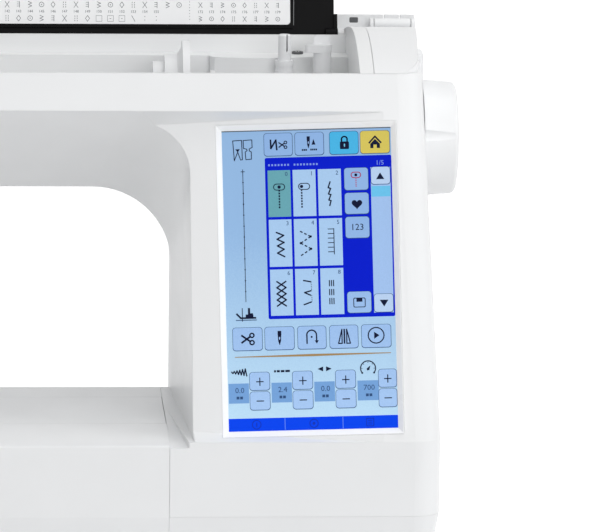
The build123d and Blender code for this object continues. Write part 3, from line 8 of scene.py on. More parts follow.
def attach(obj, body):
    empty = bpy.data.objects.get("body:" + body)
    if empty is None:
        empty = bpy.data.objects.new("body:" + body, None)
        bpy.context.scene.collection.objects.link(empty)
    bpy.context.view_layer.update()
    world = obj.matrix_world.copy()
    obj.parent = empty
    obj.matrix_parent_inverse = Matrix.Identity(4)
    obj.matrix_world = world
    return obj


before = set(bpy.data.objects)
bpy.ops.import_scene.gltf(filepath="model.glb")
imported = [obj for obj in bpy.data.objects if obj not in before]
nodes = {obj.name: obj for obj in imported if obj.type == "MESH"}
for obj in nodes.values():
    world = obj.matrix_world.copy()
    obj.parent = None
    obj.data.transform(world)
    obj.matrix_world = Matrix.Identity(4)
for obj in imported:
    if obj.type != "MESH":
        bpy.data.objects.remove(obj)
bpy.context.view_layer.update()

MM = 0.001


# ---------------------------------------------------------------- finishes

def linear(r, g, b):
    """Screen steps 0 to 255 as the linear colour that a shader takes.

    The curve is a 2.4 power with a short straight foot.
    """
    c = np.array((r, g, b)) / 255
    c = np.where(c <= 0.04045, c / 12.92, ((c + 0.055) / 1.055) ** 2.4)
    return tuple(float(x) for x in c) + (1.0,)


def new_finish(name):
    """A material with its shader, and the object's own coordinates for its patterns."""
    material = bpy.data.materials.new(name)
    material.use_nodes = True
    tree = material.node_tree
    where = tree.nodes.new("ShaderNodeTexCoord").outputs["Object"]
    return material, tree, tree.nodes["Principled BSDF"], where


def stretched(tree, where, scale, turn=(0, 0, 0)):
    """The coordinates turned and then scaled along each axis, for a pattern with a direction."""
    node = tree.nodes.new("ShaderNodeMapping")
    node.inputs["Scale"].default_value = scale
    node.inputs["Rotation"].default_value = turn
    tree.links.new(where, node.inputs["Vector"])
    return node.outputs["Vector"]


def mottle(tree, where, scale, detail=2.0):
    """Soft spots, scale of them to a metre."""
    node = tree.nodes.new("ShaderNodeTexNoise")
    node.inputs["Scale"].default_value = scale
    node.inputs["Detail"].default_value = detail
    tree.links.new(where, node.inputs["Vector"])
    return node.outputs["Fac"]


def shades(tree, amount, *stops):
    """A colour for each amount, blended between (place, colour) stops."""
    node = tree.nodes.new("ShaderNodeValToRGB")
    ramp = node.color_ramp.elements
    while len(ramp) < len(stops):
        ramp.new(0.5)
    for element, (place, colour) in zip(ramp, stops):
        element.position = place
        element.color = colour
    tree.links.new(amount, node.inputs["Fac"])
    return node.outputs["Color"]


def between(tree, amount, low, high, at_low=0.3, at_high=0.7):
    """An amount carried from one span of numbers onto another."""
    node = tree.nodes.new("ShaderNodeMapRange")
    sockets = ("From Min", "From Max", "To Min", "To Max")
    for socket, value in zip(sockets, (at_low, at_high, low, high)):
        node.inputs[socket].default_value = value
    tree.links.new(amount, node.inputs["Value"])
    return node.outputs["Result"]


def raised(tree, shader, height, depth, strength=1.0, round_edge=0.0):
    """Small relief of the given depth, over edges that look rounded by round_edge."""
    node = tree.nodes.new("ShaderNodeBump")
    node.inputs["Strength"].default_value = strength
    node.inputs["Distance"].default_value = depth
    tree.links.new(height, node.inputs["Height"])
    if round_edge:
        edge = tree.nodes.new("ShaderNodeBevel")
        edge.samples = 4
        edge.inputs["Radius"].default_value = round_edge
        tree.links.new(edge.outputs["Normal"], node.inputs["Normal"])
    tree.links.new(node.outputs["Normal"], shader.inputs["Normal"])


def moulded(name, pale, deep, rough, grain=2400, depth=0.00002, gloss=0.5, round_edge=0.0):
    """Moulded plastic: slow drift between two close shades, spark-eroded grain, roughness in patches."""
    material, tree, shader, where = new_finish(name)
    drift = mottle(tree, where, 14, 3)
    tree.links.new(shades(tree, drift, (0.3, deep), (0.7, pale)), shader.inputs["Base Color"])
    patch = mottle(tree, where, 60, 2)
    tree.links.new(between(tree, patch, rough - 0.04, rough + 0.05), shader.inputs["Roughness"])
    shader.inputs["Specular IOR Level"].default_value = gloss
    raised(tree, shader, mottle(tree, where, grain, 2), depth, 0.6, round_edge)
    return material


def brushed(name, pale, deep, rough, run=(1, 1, 12), depth=0.00001):
    """Machined metal: fine streaks along one axis in both shade and roughness."""
    material, tree, shader, where = new_finish(name)
    streak = mottle(tree, stretched(tree, where, run), 260, 4)
    tree.links.new(shades(tree, streak, (0.3, deep), (0.7, pale)), shader.inputs["Base Color"])
    tree.links.new(between(tree, streak, rough - 0.06, rough + 0.08), shader.inputs["Roughness"])
    shader.inputs["Metallic"].default_value = 1.0
    raised(tree, shader, streak, depth, 0.5)
    return material


def cast(name, pale, deep, rough, metal, spots=500, depth=0.00015):
    """A cast or painted skin: pebbled relief with darker pits."""
    material, tree, shader, where = new_finish(name)
    pit = mottle(tree, where, spots, 5)
    tree.links.new(shades(tree, pit, (0.35, deep), (0.6, pale)), shader.inputs["Base Color"])
    tree.links.new(between(tree, pit, rough - 0.08, rough + 0.08), shader.inputs["Roughness"])
    shader.inputs["Metallic"].default_value = metal
    raised(tree, shader, pit, depth, 0.7)
    return material


def cored(name, rim, glint, axis, glint_r):
    """A blackened screw head with a pale centre painted as a glint, a painted highlight, by the distance
    from its upright axis.
    """
    material, tree, shader, where = new_finish(name)
    away = tree.nodes.new("ShaderNodeVectorMath")
    away.operation = "DISTANCE"
    away.inputs[1].default_value = axis
    tree.links.new(stretched(tree, where, (1, 1, 0)), away.inputs[0])
    outside = between(tree, away.outputs["Value"], 0, 1, 0.8 * glint_r, 1.2 * glint_r)
    tree.links.new(shades(tree, outside, (0.0, glint), (1.0, rim)), shader.inputs["Base Color"])
    tree.links.new(between(tree, mottle(tree, where, 1400, 5), 0.4, 0.55), shader.inputs["Roughness"])
    return material


def lit_ink(name, colour, glow=0.55, drift=0.06, grain=0.2, foot=None):
    """A lit screen colour: part of it reflects and part of it shines, with fine dots.

    It grows a little paler from the screen's top to its foot, or turns to the colour foot there.
    """
    foot_z, top_z = 0.09, 0.25
    material, tree, shader, where = new_finish(name)
    pale = tuple(min(1.0, c * (1 + drift)) for c in colour[:3]) + (1.0,)
    deep = tuple(c * (1 - drift) for c in colour[:3]) + (1.0,)
    split = tree.nodes.new("ShaderNodeSeparateXYZ")
    tree.links.new(where, split.inputs["Vector"])
    fall = between(tree, split.outputs["Z"], 0.8, 0.2, foot_z, top_z)
    dots = tree.nodes.new("ShaderNodeMath")
    dots.operation = "ADD"
    tree.links.new(fall, dots.inputs[0])
    tree.links.new(between(tree, mottle(tree, where, 1500, 1), -grain, grain), dots.inputs[1])
    rise = ((0.42, colour), (0.8, foot)) if foot else ((1.0, pale),)
    tone = shades(tree, dots.outputs["Value"], (0.0, deep), *rise)
    half = tree.nodes.new("ShaderNodeMix")
    half.data_type = "RGBA"
    half.blend_type = "MULTIPLY"
    half.inputs["Factor"].default_value = 1.0
    half.inputs["B"].default_value = (1 - glow,) * 3 + (1.0,)
    tree.links.new(tone, half.inputs["A"])
    tree.links.new(half.outputs["Result"], shader.inputs["Base Color"])
    tree.links.new(tone, shader.inputs["Emission Color"])
    shader.inputs["Emission Strength"].default_value = glow
    shader.inputs["Roughness"].default_value = 0.32
    shader.inputs["Specular IOR Level"].default_value = 0.06
    return material


def printed_ink(name, colour):
    """Matt printing ink with uneven cover."""
    material, tree, shader, where = new_finish(name)
    thin = tuple(c * 0.8 + 0.02 for c in colour[:3]) + (1.0,)
    cover = mottle(tree, where, 3000, 2)
    tree.links.new(shades(tree, cover, (0.3, thin), (0.6, colour)), shader.inputs["Base Color"])
    tree.links.new(between(tree, cover, 0.6, 0.75), shader.inputs["Roughness"])
    return material


shell_pale, shell_deep = linear(236, 237, 238), linear(233, 234, 235)
# where the tray screw's painted glint sits, and how wide it is
tray_screw_axis, screw_glint_r = (0.163, 0.0356, 0), 0.0011

white_shell = moulded("white_shell", shell_pale, shell_deep, rough=0.36, round_edge=0.0008)
base_white = moulded("base_white", shell_pale, shell_deep, rough=0.36)
tray_grey = moulded("tray_grey", linear(235, 236, 236), linear(231, 232, 233), rough=0.45,
                    round_edge=0.0006)
winder_white = moulded("winder_white", linear(234, 235, 236), linear(228, 229, 231), rough=0.4)
lid_black = moulded("lid_black", linear(15, 15, 16), linear(11, 11, 12), rough=0.42,
                    grain=1500, depth=0.00004, gloss=0.06)
card_white = moulded("card_white", linear(243, 243, 244), linear(240, 241, 242), rough=0.5,
                     grain=5000, depth=0.000008, gloss=0.3)
# the bezel's white is paler than the shell's: painted light, as if its bevel faced the lamps more
screen_frame = moulded("screen_frame", linear(250, 250, 251), linear(247, 248, 249), rough=0.3)
screen_glass = lit_ink("screen_glass", linear(151, 188, 229), grain=0.025, foot=linear(196, 230, 252))
display_back = brushed("display_back", linear(190, 192, 194), linear(165, 167, 170), rough=0.4,
                       run=(1, 12, 1))
button_grey = moulded("button_grey", linear(214, 216, 218), linear(206, 208, 211), rough=0.38,
                      round_edge=0.0004)
socket_black = moulded("socket_black", linear(32, 32, 33), linear(24, 24, 25), rough=0.4,
                       grain=1800, depth=0.00003, gloss=0.4)
cut_steel = brushed("cut_steel", linear(202, 204, 206), linear(172, 174, 177), rough=0.3)
bright_steel = brushed("bright_steel", linear(222, 223, 225), linear(196, 198, 200), rough=0.2)
frame_alloy = cast("frame_alloy", linear(176, 178, 180), linear(140, 142, 145), rough=0.5, metal=0.85)
dark_screw = cored("dark_screw", linear(84, 85, 87), linear(246, 246, 247), tray_screw_axis, screw_glint_r)
sintered_bronze = cast("sintered_bronze", linear(190, 142, 86), linear(150, 106, 60), rough=0.42,
                       metal=1.0, spots=1600, depth=0.00005)
belt_rubber = cast("belt_rubber", linear(36, 36, 37), linear(24, 24, 25), rough=0.7,
                   metal=0.0, spots=1800, depth=0.00006)
foot_rubber = cast("foot_rubber", linear(58, 58, 60), linear(44, 44, 46), rough=0.8,
                   metal=0.0, spots=1400, depth=0.0001)
motor_paint = cast("motor_paint", linear(52, 53, 55), linear(40, 41, 43), rough=0.45,
                   metal=0.3, spots=900, depth=0.00006)
pulley_plastic = moulded("pulley_plastic", linear(224, 220, 208), linear(214, 210, 197), rough=0.45)


def clear_cover():
    """Clear moulded cover: thin smoky acrylic with a faint flow pattern."""
    material, tree, shader, where = new_finish("clear_cover")
    flow = mottle(tree, stretched(tree, where, (1, 6, 1)), 40, 3)
    tint = shades(tree, flow, (0.3, linear(226, 230, 233)), (0.7, linear(240, 243, 245)))
    tree.links.new(tint, shader.inputs["Base Color"])
    tree.links.new(between(tree, flow, 0.08, 0.16), shader.inputs["Roughness"])
    shader.inputs["Alpha"].default_value = 0.42
    raised(tree, shader, flow, 0.00003, 0.4)
    return material


def circuit_board():
    """Green board: solder mask over a fine mesh of tracks, tinned in places."""
    material, tree, shader, where = new_finish("circuit_board")
    tracks = tree.nodes.new("ShaderNodeTexBrick")
    tracks.inputs["Scale"].default_value = 160
    tracks.inputs["Mortar Size"].default_value = 0.035
    tracks.inputs["Color1"].default_value = linear(26, 92, 54)
    tracks.inputs["Color2"].default_value = linear(20, 78, 46)
    tracks.inputs["Mortar"].default_value = linear(86, 140, 92)
    tree.links.new(stretched(tree, where, (1, 1, 1), (math.pi / 2, 0, 0)), tracks.inputs["Vector"])
    tree.links.new(tracks.outputs["Color"], shader.inputs["Base Color"])
    tree.links.new(between(tree, mottle(tree, where, 300), 0.3, 0.45), shader.inputs["Roughness"])
    raised(tree, shader, tracks.outputs["Fac"], 0.00005, 0.5)
    return material


worn_by = {
    white_shell: "front_cover face_cover rear_cover top_end_cap wheel_collar handwheel carry_handle",
    base_white: "base_pan extension_table free_arm",
    tray_grey: "top_tray",
    winder_white: "spool_pin spool_cap winder_spindle winder_stop",
    lid_black: "lid_shell lid_liner",
    card_white: "stitch_card",
    screen_frame: "screen_bezel",
    screen_glass: "touch_glass",
    display_back: "lcd_module",
    button_grey: "start_button reverse_button speed_slider",
    socket_black: "power_inlet power_switch switch_case",
    clear_cover(): "bobbin_cover",
    cut_steel: "needle_plate upper_shaft lower_shaft needle_bar presser_bar presser_holder "
               "bar_guide crank_disc hook feed_dog lower_gear lifter_lever",
    bright_steel: "needle needle_clamp clamp_screw presser_foot take_up_lever base_screws",
    frame_alloy: "machine_frame",
    dark_screw: "tray_screw",
    sintered_bronze: "shaft_bushes",
    belt_rubber: "timing_belt drive_belt",
    foot_rubber: "rubber_feet",
    motor_paint: "main_motor",
    circuit_board(): "main_board",
    pulley_plastic: "upper_pulley lower_pulley drive_pulley motor_pulley bobbin_case bobbin",
}
for finish, names in worn_by.items():
    for name in names.split():
        for slot in nodes[name].material_slots:
            slot.material = finish


# ---------------------------------------------------------------- flat shapes for printing

def rect(u0, v0, u1, v1, r=0.0):
    """Outline of a rectangle: four quarter circles of radius r joined by straight sides."""
    turn = np.linspace(0, math.pi / 2, 6 if r else 1)
    arcs = [turn + math.pi * k / 2 for k in range(4)]
    centres = [(u1 - r, v1 - r), (u0 + r, v1 - r), (u0 + r, v0 + r), (u1 - r, v0 + r)]
    return np.concatenate([np.stack([cu + r * np.cos(a), cv + r * np.sin(a)], 1)
                           for a, (cu, cv) in zip(arcs, centres)])


def disc(u, v, r, wide=1.0):
    """A circle as 24 points, stretched along u by wide."""
    a = np.linspace(0, 2 * math.pi, 24, endpoint=False)
    return np.stack([u + wide * r * np.cos(a), v + r * np.sin(a)], 1)


def line(points, width, closed=False):
    """A drawn line: each run between two points is a strip of that width, a little past its ends."""
    p = np.asarray(points, float)
    q = np.roll(p, -1, axis=0)
    if not closed:
        p, q = p[:-1], q[:-1]
    along = (q - p) / np.linalg.norm(q - p, axis=1, keepdims=True)
    side = np.stack([-along[:, 1], along[:, 0]], 1) * width / 2
    over = along * width * 0.35
    return list(np.stack([p - over - side, q + over - side, q + over + side, p - over + side], 1))


def broken(start, end, count, width, full=0.6):
    """A broken line: count equal strips from start to end, each filling its share of the pitch."""
    start, end = np.asarray(start, float), np.asarray(end, float)
    step = (end - start) / (count - 1 + full)
    first = start + step * np.arange(count)[:, None]
    side = np.array([-step[1], step[0]]) / np.linalg.norm(step) * width / 2
    last = first + step * full
    return list(np.stack([first - side, last - side, last + side, first + side], 1))


def zigzag(u0, v0, u1, v1, turns, width):
    """A zigzag that swings between u0 and u1 while it runs from v0 to v1."""
    v = np.linspace(v0, v1, turns + 1)
    u = np.where(np.arange(turns + 1) % 2, u1, u0)
    return line(np.stack([u, v], 1), width)


def figures(text, u, v, size):
    """Plain figures centred on (u, v): the font's outline made a mesh, read back as flat faces."""
    curve = bpy.data.curves.new("figures", "FONT")
    curve.body, curve.size = text, size
    curve.align_x, curve.align_y, curve.resolution_u = "CENTER", "CENTER", 2
    holder = bpy.data.objects.new("figures", curve)
    mesh = bpy.data.meshes.new_from_object(holder)
    flat = np.empty(len(mesh.vertices) * 3)
    mesh.vertices.foreach_get("co", flat)
    flat = flat.reshape(-1, 3)[:, :2] * (1, -1) + (u, v)
    faces = [flat[list(p.vertices)] for p in mesh.polygons]
    bpy.data.objects.remove(holder)
    bpy.data.curves.remove(curve)
    bpy.data.meshes.remove(mesh)
    return faces


def turned_area(outline):
    """Twice the signed area of an outline, by the shoelace sum."""
    u, v = outline[:, 0], outline[:, 1]
    return float(np.sum(u * np.roll(v, -1) - v * np.roll(u, -1)))


def print_on(name, outlines, place, height, finish, body):
    """A print: every outline is one face, turned to the front and laid by place(points, height)."""
    outlines = [o if turned_area(o) < 0 else o[::-1] for o in outlines]
    ends = np.cumsum([len(o) for o in outlines])
    faces = [range(e - len(o), e) for o, e in zip(outlines, ends)]
    mesh = bpy.data.meshes.new(name)
    mesh.from_pydata(place(np.concatenate(outlines), height).tolist(), [], [list(f) for f in faces])
    mesh.materials.append(finish)
    piece = bpy.data.objects.new(name, mesh)
    bpy.context.scene.collection.objects.link(piece)
    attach(piece, body)
    return piece


# ---------------------------------------------------------------- screen picture

face_run, face_rise = 37, 184
face_lean = math.atan2(face_run, face_rise)
recess_yaw, screen_roll = math.radians(5.7), math.radians(1.4)
up_face = np.array((0, math.sin(face_lean), math.cos(face_lean)))
out_face = np.array((0, -math.cos(face_lean), math.sin(face_lean)))
across = np.array((1.0, 0, 0))
out_recess = out_face * math.cos(recess_yaw) - across * math.sin(recess_yaw)
along_recess = across * math.cos(recess_yaw) + out_face * math.sin(recess_yaw)
screen_w, screen_h, glass_sink = 86.4, 153.4, 2.4
drawn_w, drawn_h = 85.92, 154.21
face_corner, from_right, from_foot = np.array((201.0, -95.0, 90.0)), 37.8, 83.0
screen_centre = face_corner - along_recess * from_right + up_face * from_foot
screen_side = along_recess * math.cos(screen_roll) + up_face * math.sin(screen_roll)
screen_up = np.cross(out_recess, screen_side)


def on_glass(points, height):
    """Drawing units from the glass's top left corner, stretched to its size along its two directions."""
    u = (points[:, :1] / drawn_w - 0.5) * screen_w
    v = (0.5 - points[:, 1:] / drawn_h) * screen_h
    return (screen_centre + u * screen_side + v * screen_up + out_recess * (height - glass_sink)) * MM


# what is drawn, gathered by colour
panels, tracks, bars, boxes, tiles, chosen, thumbs = [], [], [], [], [], [], []
keys, pale_keys, cyan_keys, gold_keys, key_edges = [], [], [], [], []
ink, thin_ink, red_ink, light_ink, gold_ink, faint_ink = [], [], [], [], [], []
pale_rules, cyan_holes, blue_holes, top_shade = [], [], [], []


def key(u0, v0, u1, v1, into):
    """A soft key: a rounded face on a slightly larger dark edge."""
    key_edges.append(rect(u0, v0, u1, v1, 1.6))
    into.append(rect(u0 + 0.22, v0 + 0.2, u1 - 0.26, v1 - 0.34, 1.45))


def scissors(u, v, s):
    """Two crossed blades that open to the left, with a ring grip on each at the right."""
    return (line([(u - 3.2 * s, v - 1.9 * s), (u + 1.4 * s, v + 1.4 * s)], s)
            + line([(u - 3.2 * s, v + 1.9 * s), (u + 1.4 * s, v - 1.4 * s)], s)
            + line(disc(u + 2.2 * s, v - 1.95 * s, 1.1 * s), 0.75 * s, True)
            + line(disc(u + 2.2 * s, v + 1.95 * s, 1.1 * s), 0.75 * s, True))


def needle_mark(u, v, s):
    """A needle: a square shank over a body that narrows to its point."""
    body = ((-0.95, -1.8), (0.95, -1.8), (0.75, 1.6), (0.12, 3.8), (-0.12, 3.8), (-0.75, 1.6))
    blue_holes.append(disc(u, v + 0.2 * s, 0.8 * s, 0.4))
    return [rect(u - s, v - 3.8 * s, u + s, v - 1.7 * s), np.array(body) * s + (u, v)]


# top row: thread cutter, needle position, lock and home
for u0, u1, into in ((21.3, 36.0, keys), (37.0, 51.9, keys),
                     (54.6, 69.5, cyan_keys), (70.2, 85.4, gold_keys)):
    key(u0, 1.5, u1, 13.5, into)
ink += line([(24.8, 5.1), (24.9, 9.4), (27.5, 5.2), (27.9, 10.1)], 0.85) + scissors(31.0, 7.7, 0.62)
ink += needle_mark(44.0, 6.7, 0.8) + [np.array([(46.6, 5.1), (47.6, 8.0), (45.6, 8.0)])]
ink += broken((40.6, 10.6), (43.2, 10.6), 3, 0.9, 0.8) + broken((44.9, 10.5), (48.3, 10.5), 4, 0.9, 0.8)
ink += [rect(60.0, 6.8, 64.6, 10.7, 0.5)]
shackle = [[(60.9, 7.0), (60.9, 5.8)], disc(62.3, 5.7, 1.45)[12:], [(63.7, 5.8), (63.7, 7.0)]]
ink += line(np.concatenate(shackle), 0.75)
cyan_holes.append(rect(62.0, 7.9, 62.6, 9.5, 0.25))
ink += line([(74.9, 7.8), (77.85, 4.6), (80.8, 7.8)], 0.85)
ink += [np.array([(75.4, 10.6), (75.4, 8.4), (77.85, 5.9), (80.3, 8.4), (80.3, 10.6),
                  (78.7, 10.6), (78.7, 8.8), (77.0, 8.8), (77.0, 10.6)])]

# foot outlines, seam gauge and presser foot at the left
ink += line([(5.6, 5.0), (10.1, 4.8), (10.3, 14.8), (9.4, 14.9), (8.0, 10.8), (6.2, 15.2)], 0.4, True)
ink += [np.array([(6.8, 9.4), (9.1, 9.3), (8.1, 11.0)])]
ink += line([(10.9, 4.9), (15.3, 4.7), (15.4, 8.6), (13.9, 9.3), (13.9, 10.3), (14.9, 10.9),
             (14.9, 14.6), (12.1, 14.8), (11.8, 10.9), (12.8, 10.2), (12.6, 9.4), (11.0, 9.0)], 0.4, True)
ink += line([(10.3, 19.9), (10.3, 87.8)], 0.32) + [rect(9.3, 20.8, 11.3, 21.15)]
ink += [disc(10.3, v, 0.36) for v in np.linspace(26.5, 82.5, 11)]
ink += [rect(10.0, 94.3, 13.9, 95.9), rect(11.9, 93.7, 13.7, 94.5), rect(11.2, 91.0, 12.3, 94.5)]
ink += line([(5.5, 94.0), (7.5, 96.1), (15.0, 96.1)], 0.9) + line([(8.3, 91.1), (8.3, 97.7)], 0.4)
thin_ink += line([(5.1, 97.2), (15.5, 97.2)], 0.4)

# stitch panel with its nine tiles
panels.append(rect(21.6, 14.2, 85.9, 97.0, 0.9))
light_ink += figures("1/5", 80.0, 18.2, 3.4)
light_ink += [rect(23.3 + 1.62 * k, 17.5, 24.2 + 1.62 * k, 18.5) for k in range(16) if k != 7]
columns = ((22.9, 34.4), (35.6, 47.2), (48.4, 60.1))
rows = ((20.7, 44.6), (46.0, 70.2), (71.6, 95.3))
for count in range(9):
    (u0, u1), (v0, v1) = columns[count % 3], rows[count // 3]
    (tiles if count else chosen).append(rect(u0, v0, u1, v1))
    thin_ink += figures(str(count), u1 - 2.0, v0 + 2.1, 3.0)


def plate_slot(u, v, dot):
    """The needle plate's slot with the needle at dot, and stitches running away below."""
    return (line(rect(u - 2.8, v - 1.55, u + 2.8, v + 1.55, 1.5), 0.42, True) + [disc(u + dot, v, 0.85)]
            + broken((u + dot, v + 1.4), (u + dot, v + 10.9), 7, 0.78, 0.66))


ink += plate_slot(28.6, 29.3, 0.0) + plate_slot(41.3, 29.3, -1.3)
ink += line([(54.5, 27.3), (53.5, 30.3), (54.7, 30.7), (53.6, 33.5),
             (54.8, 33.9), (53.7, 36.6), (54.8, 37.0), (54.1, 39.5)], 0.7)
ink += line([(26.6, 52.6), (30.3, 54.2), (26.9, 56.1), (30.4, 57.8),
             (27.0, 59.5), (30.4, 61.3), (27.0, 63.2), (30.6, 65.1)], 0.75)
turns = ((38.7, 52.3), (44.0, 55.1), (38.9, 58.4), (44.1, 61.4), (38.9, 64.8))
for start, end in zip(turns, turns[1:]):
    ink += broken(start, end, 3, 0.65, 0.6)
ink += [disc(u, v, 0.6) for u, v in turns[1:4]]
ink += line([(55.8, 51.3), (55.8, 64.4)], 0.42)
ink += [rect(52.7, v, 55.8, v + 0.4) for v in np.linspace(51.3, 63.0, 6)]
ink += zigzag(26.2, 77.8, 30.8, 90.4, 4, 0.75) + zigzag(30.8, 77.8, 26.2, 90.4, 4, 0.75)
ink += line([(39.8, 77.6), (43.5, 78.3)], 0.7) + line([(43.5, 82.9), (40.2, 83.8), (43.2, 85.2)], 0.7)
ink += line([(43.5, 88.7), (39.8, 90.0)], 0.7)
ink += broken((43.6, 78.8), (43.8, 82.6), 5, 0.34, 0.5) + broken((43.8, 85.2), (43.9, 88.4), 4, 0.34, 0.5)
for u in (52.9, 53.95, 55.0):
    ink += [rect(u - 0.26, v, u + 0.26, v + 3.2) for v in (77.7, 82.3, 86.9)]

# side keys beside the tiles
for v0, v1 in ((20.3, 32.1), (33.1, 44.4), (45.4, 56.7), (83.8, 95.1)):
    key(61.6, v0, 74.1, v1, keys)
red_ink += line(rect(65.3, 22.7, 70.1, 25.5, 1.35), 0.45, True)
ink += [disc(67.7, 24.1, 0.75)]
red_ink += broken((67.7, 25.9), (67.7, 30.1), 5, 0.55, 0.55)
beat = np.linspace(0, 2 * math.pi, 32, endpoint=False)
heart_u, heart_v, heart_size = 67.9, 39.0, 0.168
lobes = 13 * np.cos(beat) - 5 * np.cos(2 * beat) - 2 * np.cos(3 * beat) - np.cos(4 * beat)
heart = np.stack([heart_u + heart_size * 16 * np.sin(beat) ** 3, heart_v - heart_size * lobes], 1)
ink += [heart] + figures("123", 67.8, 51.0, 4.6)
ink += line(rect(65.0, 87.3, 70.8, 91.9, 0.6), 0.4, True) + [rect(66.4, 87.3, 69.4, 89.2)]

# scroll bar
tracks.append(rect(75.2, 20.4, 85.2, 95.0))
key(75.2, 20.1, 85.2, 29.4, pale_keys)
key(75.2, 85.3, 85.2, 95.0, pale_keys)
thumbs.append(rect(75.4, 30.1, 85.0, 35.5, 0.3))
ink += [np.array([(80.0, 23.2), (82.1, 26.6), (77.9, 26.6)]),
        np.array([(80.4, 92.0), (78.2, 88.5), (82.6, 88.5)])]

# five keys below the panel
for u0, u1 in ((3.0, 18.3), (19.3, 34.5), (36.0, 50.7), (52.2, 66.9), (68.4, 83.6)):
    key(u0, 100.9, u1, 113.0, keys)
ink += scissors(10.8, 106.9, 0.95) + needle_mark(26.9, 106.7, 0.95)
arrow_arc = [[(40.8, 109.9), (40.8, 106.0)], disc(43.2, 105.6, 2.45)[12:], [(45.7, 106.0), (45.7, 108.4)]]
ink += line(np.concatenate(arrow_arc), 0.7)
ink += [np.array([(44.7, 108.4), (46.8, 108.4), (45.75, 110.1)]), disc(43.2, 106.6, 0.5)]
ink += line([(56.8, 110.3), (58.6, 103.1), (58.6, 110.3)], 0.6, True)
ink += line([(62.8, 110.3), (61.0, 103.1), (61.0, 110.3)], 0.6, True)
ink += [rect(59.4, 102.9, 60.2, 110.5)]
ink += line(disc(75.9, 106.6, 4.0), 0.6, True) + [np.array([(74.9, 104.8), (74.9, 108.4), (77.6, 106.6)])]

# tapered rule and the four value groups
gold_ink.append(np.array([(4.0, 115.9), (43.7, 115.3), (83.2, 115.5),
                          (83.2, 115.9), (43.7, 116.5), (4.0, 116.25)]))
for u0, u1, text in ((1.0, 10.1, "0.0"), (22.8, 31.9, "2.4"), (44.5, 53.7, "0.0"), (66.4, 76.0, "700")):
    middle = (u0 + u1) / 2
    boxes.append(rect(u0 - 0.6, 129.6, u1 + 0.6, 139.8))
    thin_ink += figures(text, middle + 0.5, 133.3, 3.9)
    thin_ink += [rect(middle + k, 136.3, middle + k + 1.4, 137.7) for k in (-1.2, 0.6)]
for u0, u1 in ((11.0, 21.7), (32.8, 43.5), (54.6, 65.3), (76.4, 86.1)):
    middle = (u0 + u1) / 2
    key(u0, 123.9, u1 - 0.2, 133.5, keys)
    key(u0, 133.9, u1 - 0.2, 143.6, keys)
    ink += line([(middle - 1.7, 128.9), (middle + 1.7, 128.9)], 0.54)
    ink += line([(middle, 127.0), (middle, 130.8)], 0.54)
    ink += line([(middle - 1.7, 138.8), (middle + 1.7, 138.8)], 0.54)
steps = np.arange(12)
swing = np.where(steps % 2, 1, -1) * (0.3 + 0.145 * steps)
ink += line(np.stack([2.1 + 0.7 * steps, 123.9 + swing], 1), 0.62)
ink += [rect(u, 123.2, u + w, 124.3) for u, w in ((23.7, 0.95), (25.1, 1.5), (27.1, 1.85), (29.4, 2.3))]
ink += [np.array([(45.8, 123.1), (48.6, 121.9), (48.6, 124.4)]),
        np.array([(52.9, 123.1), (50.1, 121.9), (50.1, 124.4)])]
sweep = np.linspace(math.radians(145), math.radians(395), 22)
dial_u, dial_v = 71.4, 123.4
ink += line(np.stack([dial_u + 3.8 * np.cos(sweep), dial_v + 3.8 * np.sin(sweep)], 1), 0.55)
ink += [disc(u, v, 0.5) for u, v in ((68.4, 125.7), (74.4, 125.7))]
ink += [np.array([(72.6, 122.0), (72.0, 124.3), (70.9, 124.5), (70.7, 123.5)])]
ink += [disc(dial_u + 3.1 * math.cos(a), dial_v + 3.1 * math.sin(a), 0.24)
        for a in np.radians((180, 225, 270, 315, 360))]

# bar along the bottom, and the frame's shadow along the top
bars.append(rect(0, 147.6, drawn_w, drawn_h))
pale_rules += [rect(u - 0.12, 147.8, u + 0.12, 153.9) for u in (28.6, 58.0)]
faint_ink += line(disc(14.2, 150.9, 2.2), 0.35, True) + [rect(14.0, 149.8, 14.4, 152.0)]
faint_ink += line(disc(43.3, 150.9, 2.1), 0.4, True) + [disc(43.3, 150.9, 0.7)]
faint_ink += line(rect(70.0, 149.0, 73.6, 152.9, 0.3), 0.35, True)
faint_ink += [rect(70.8, v, 72.8, v + 0.3) for v in (150.0, 150.9, 151.8)]
top_shade.append(rect(0, -0.05, drawn_w, 0.4))

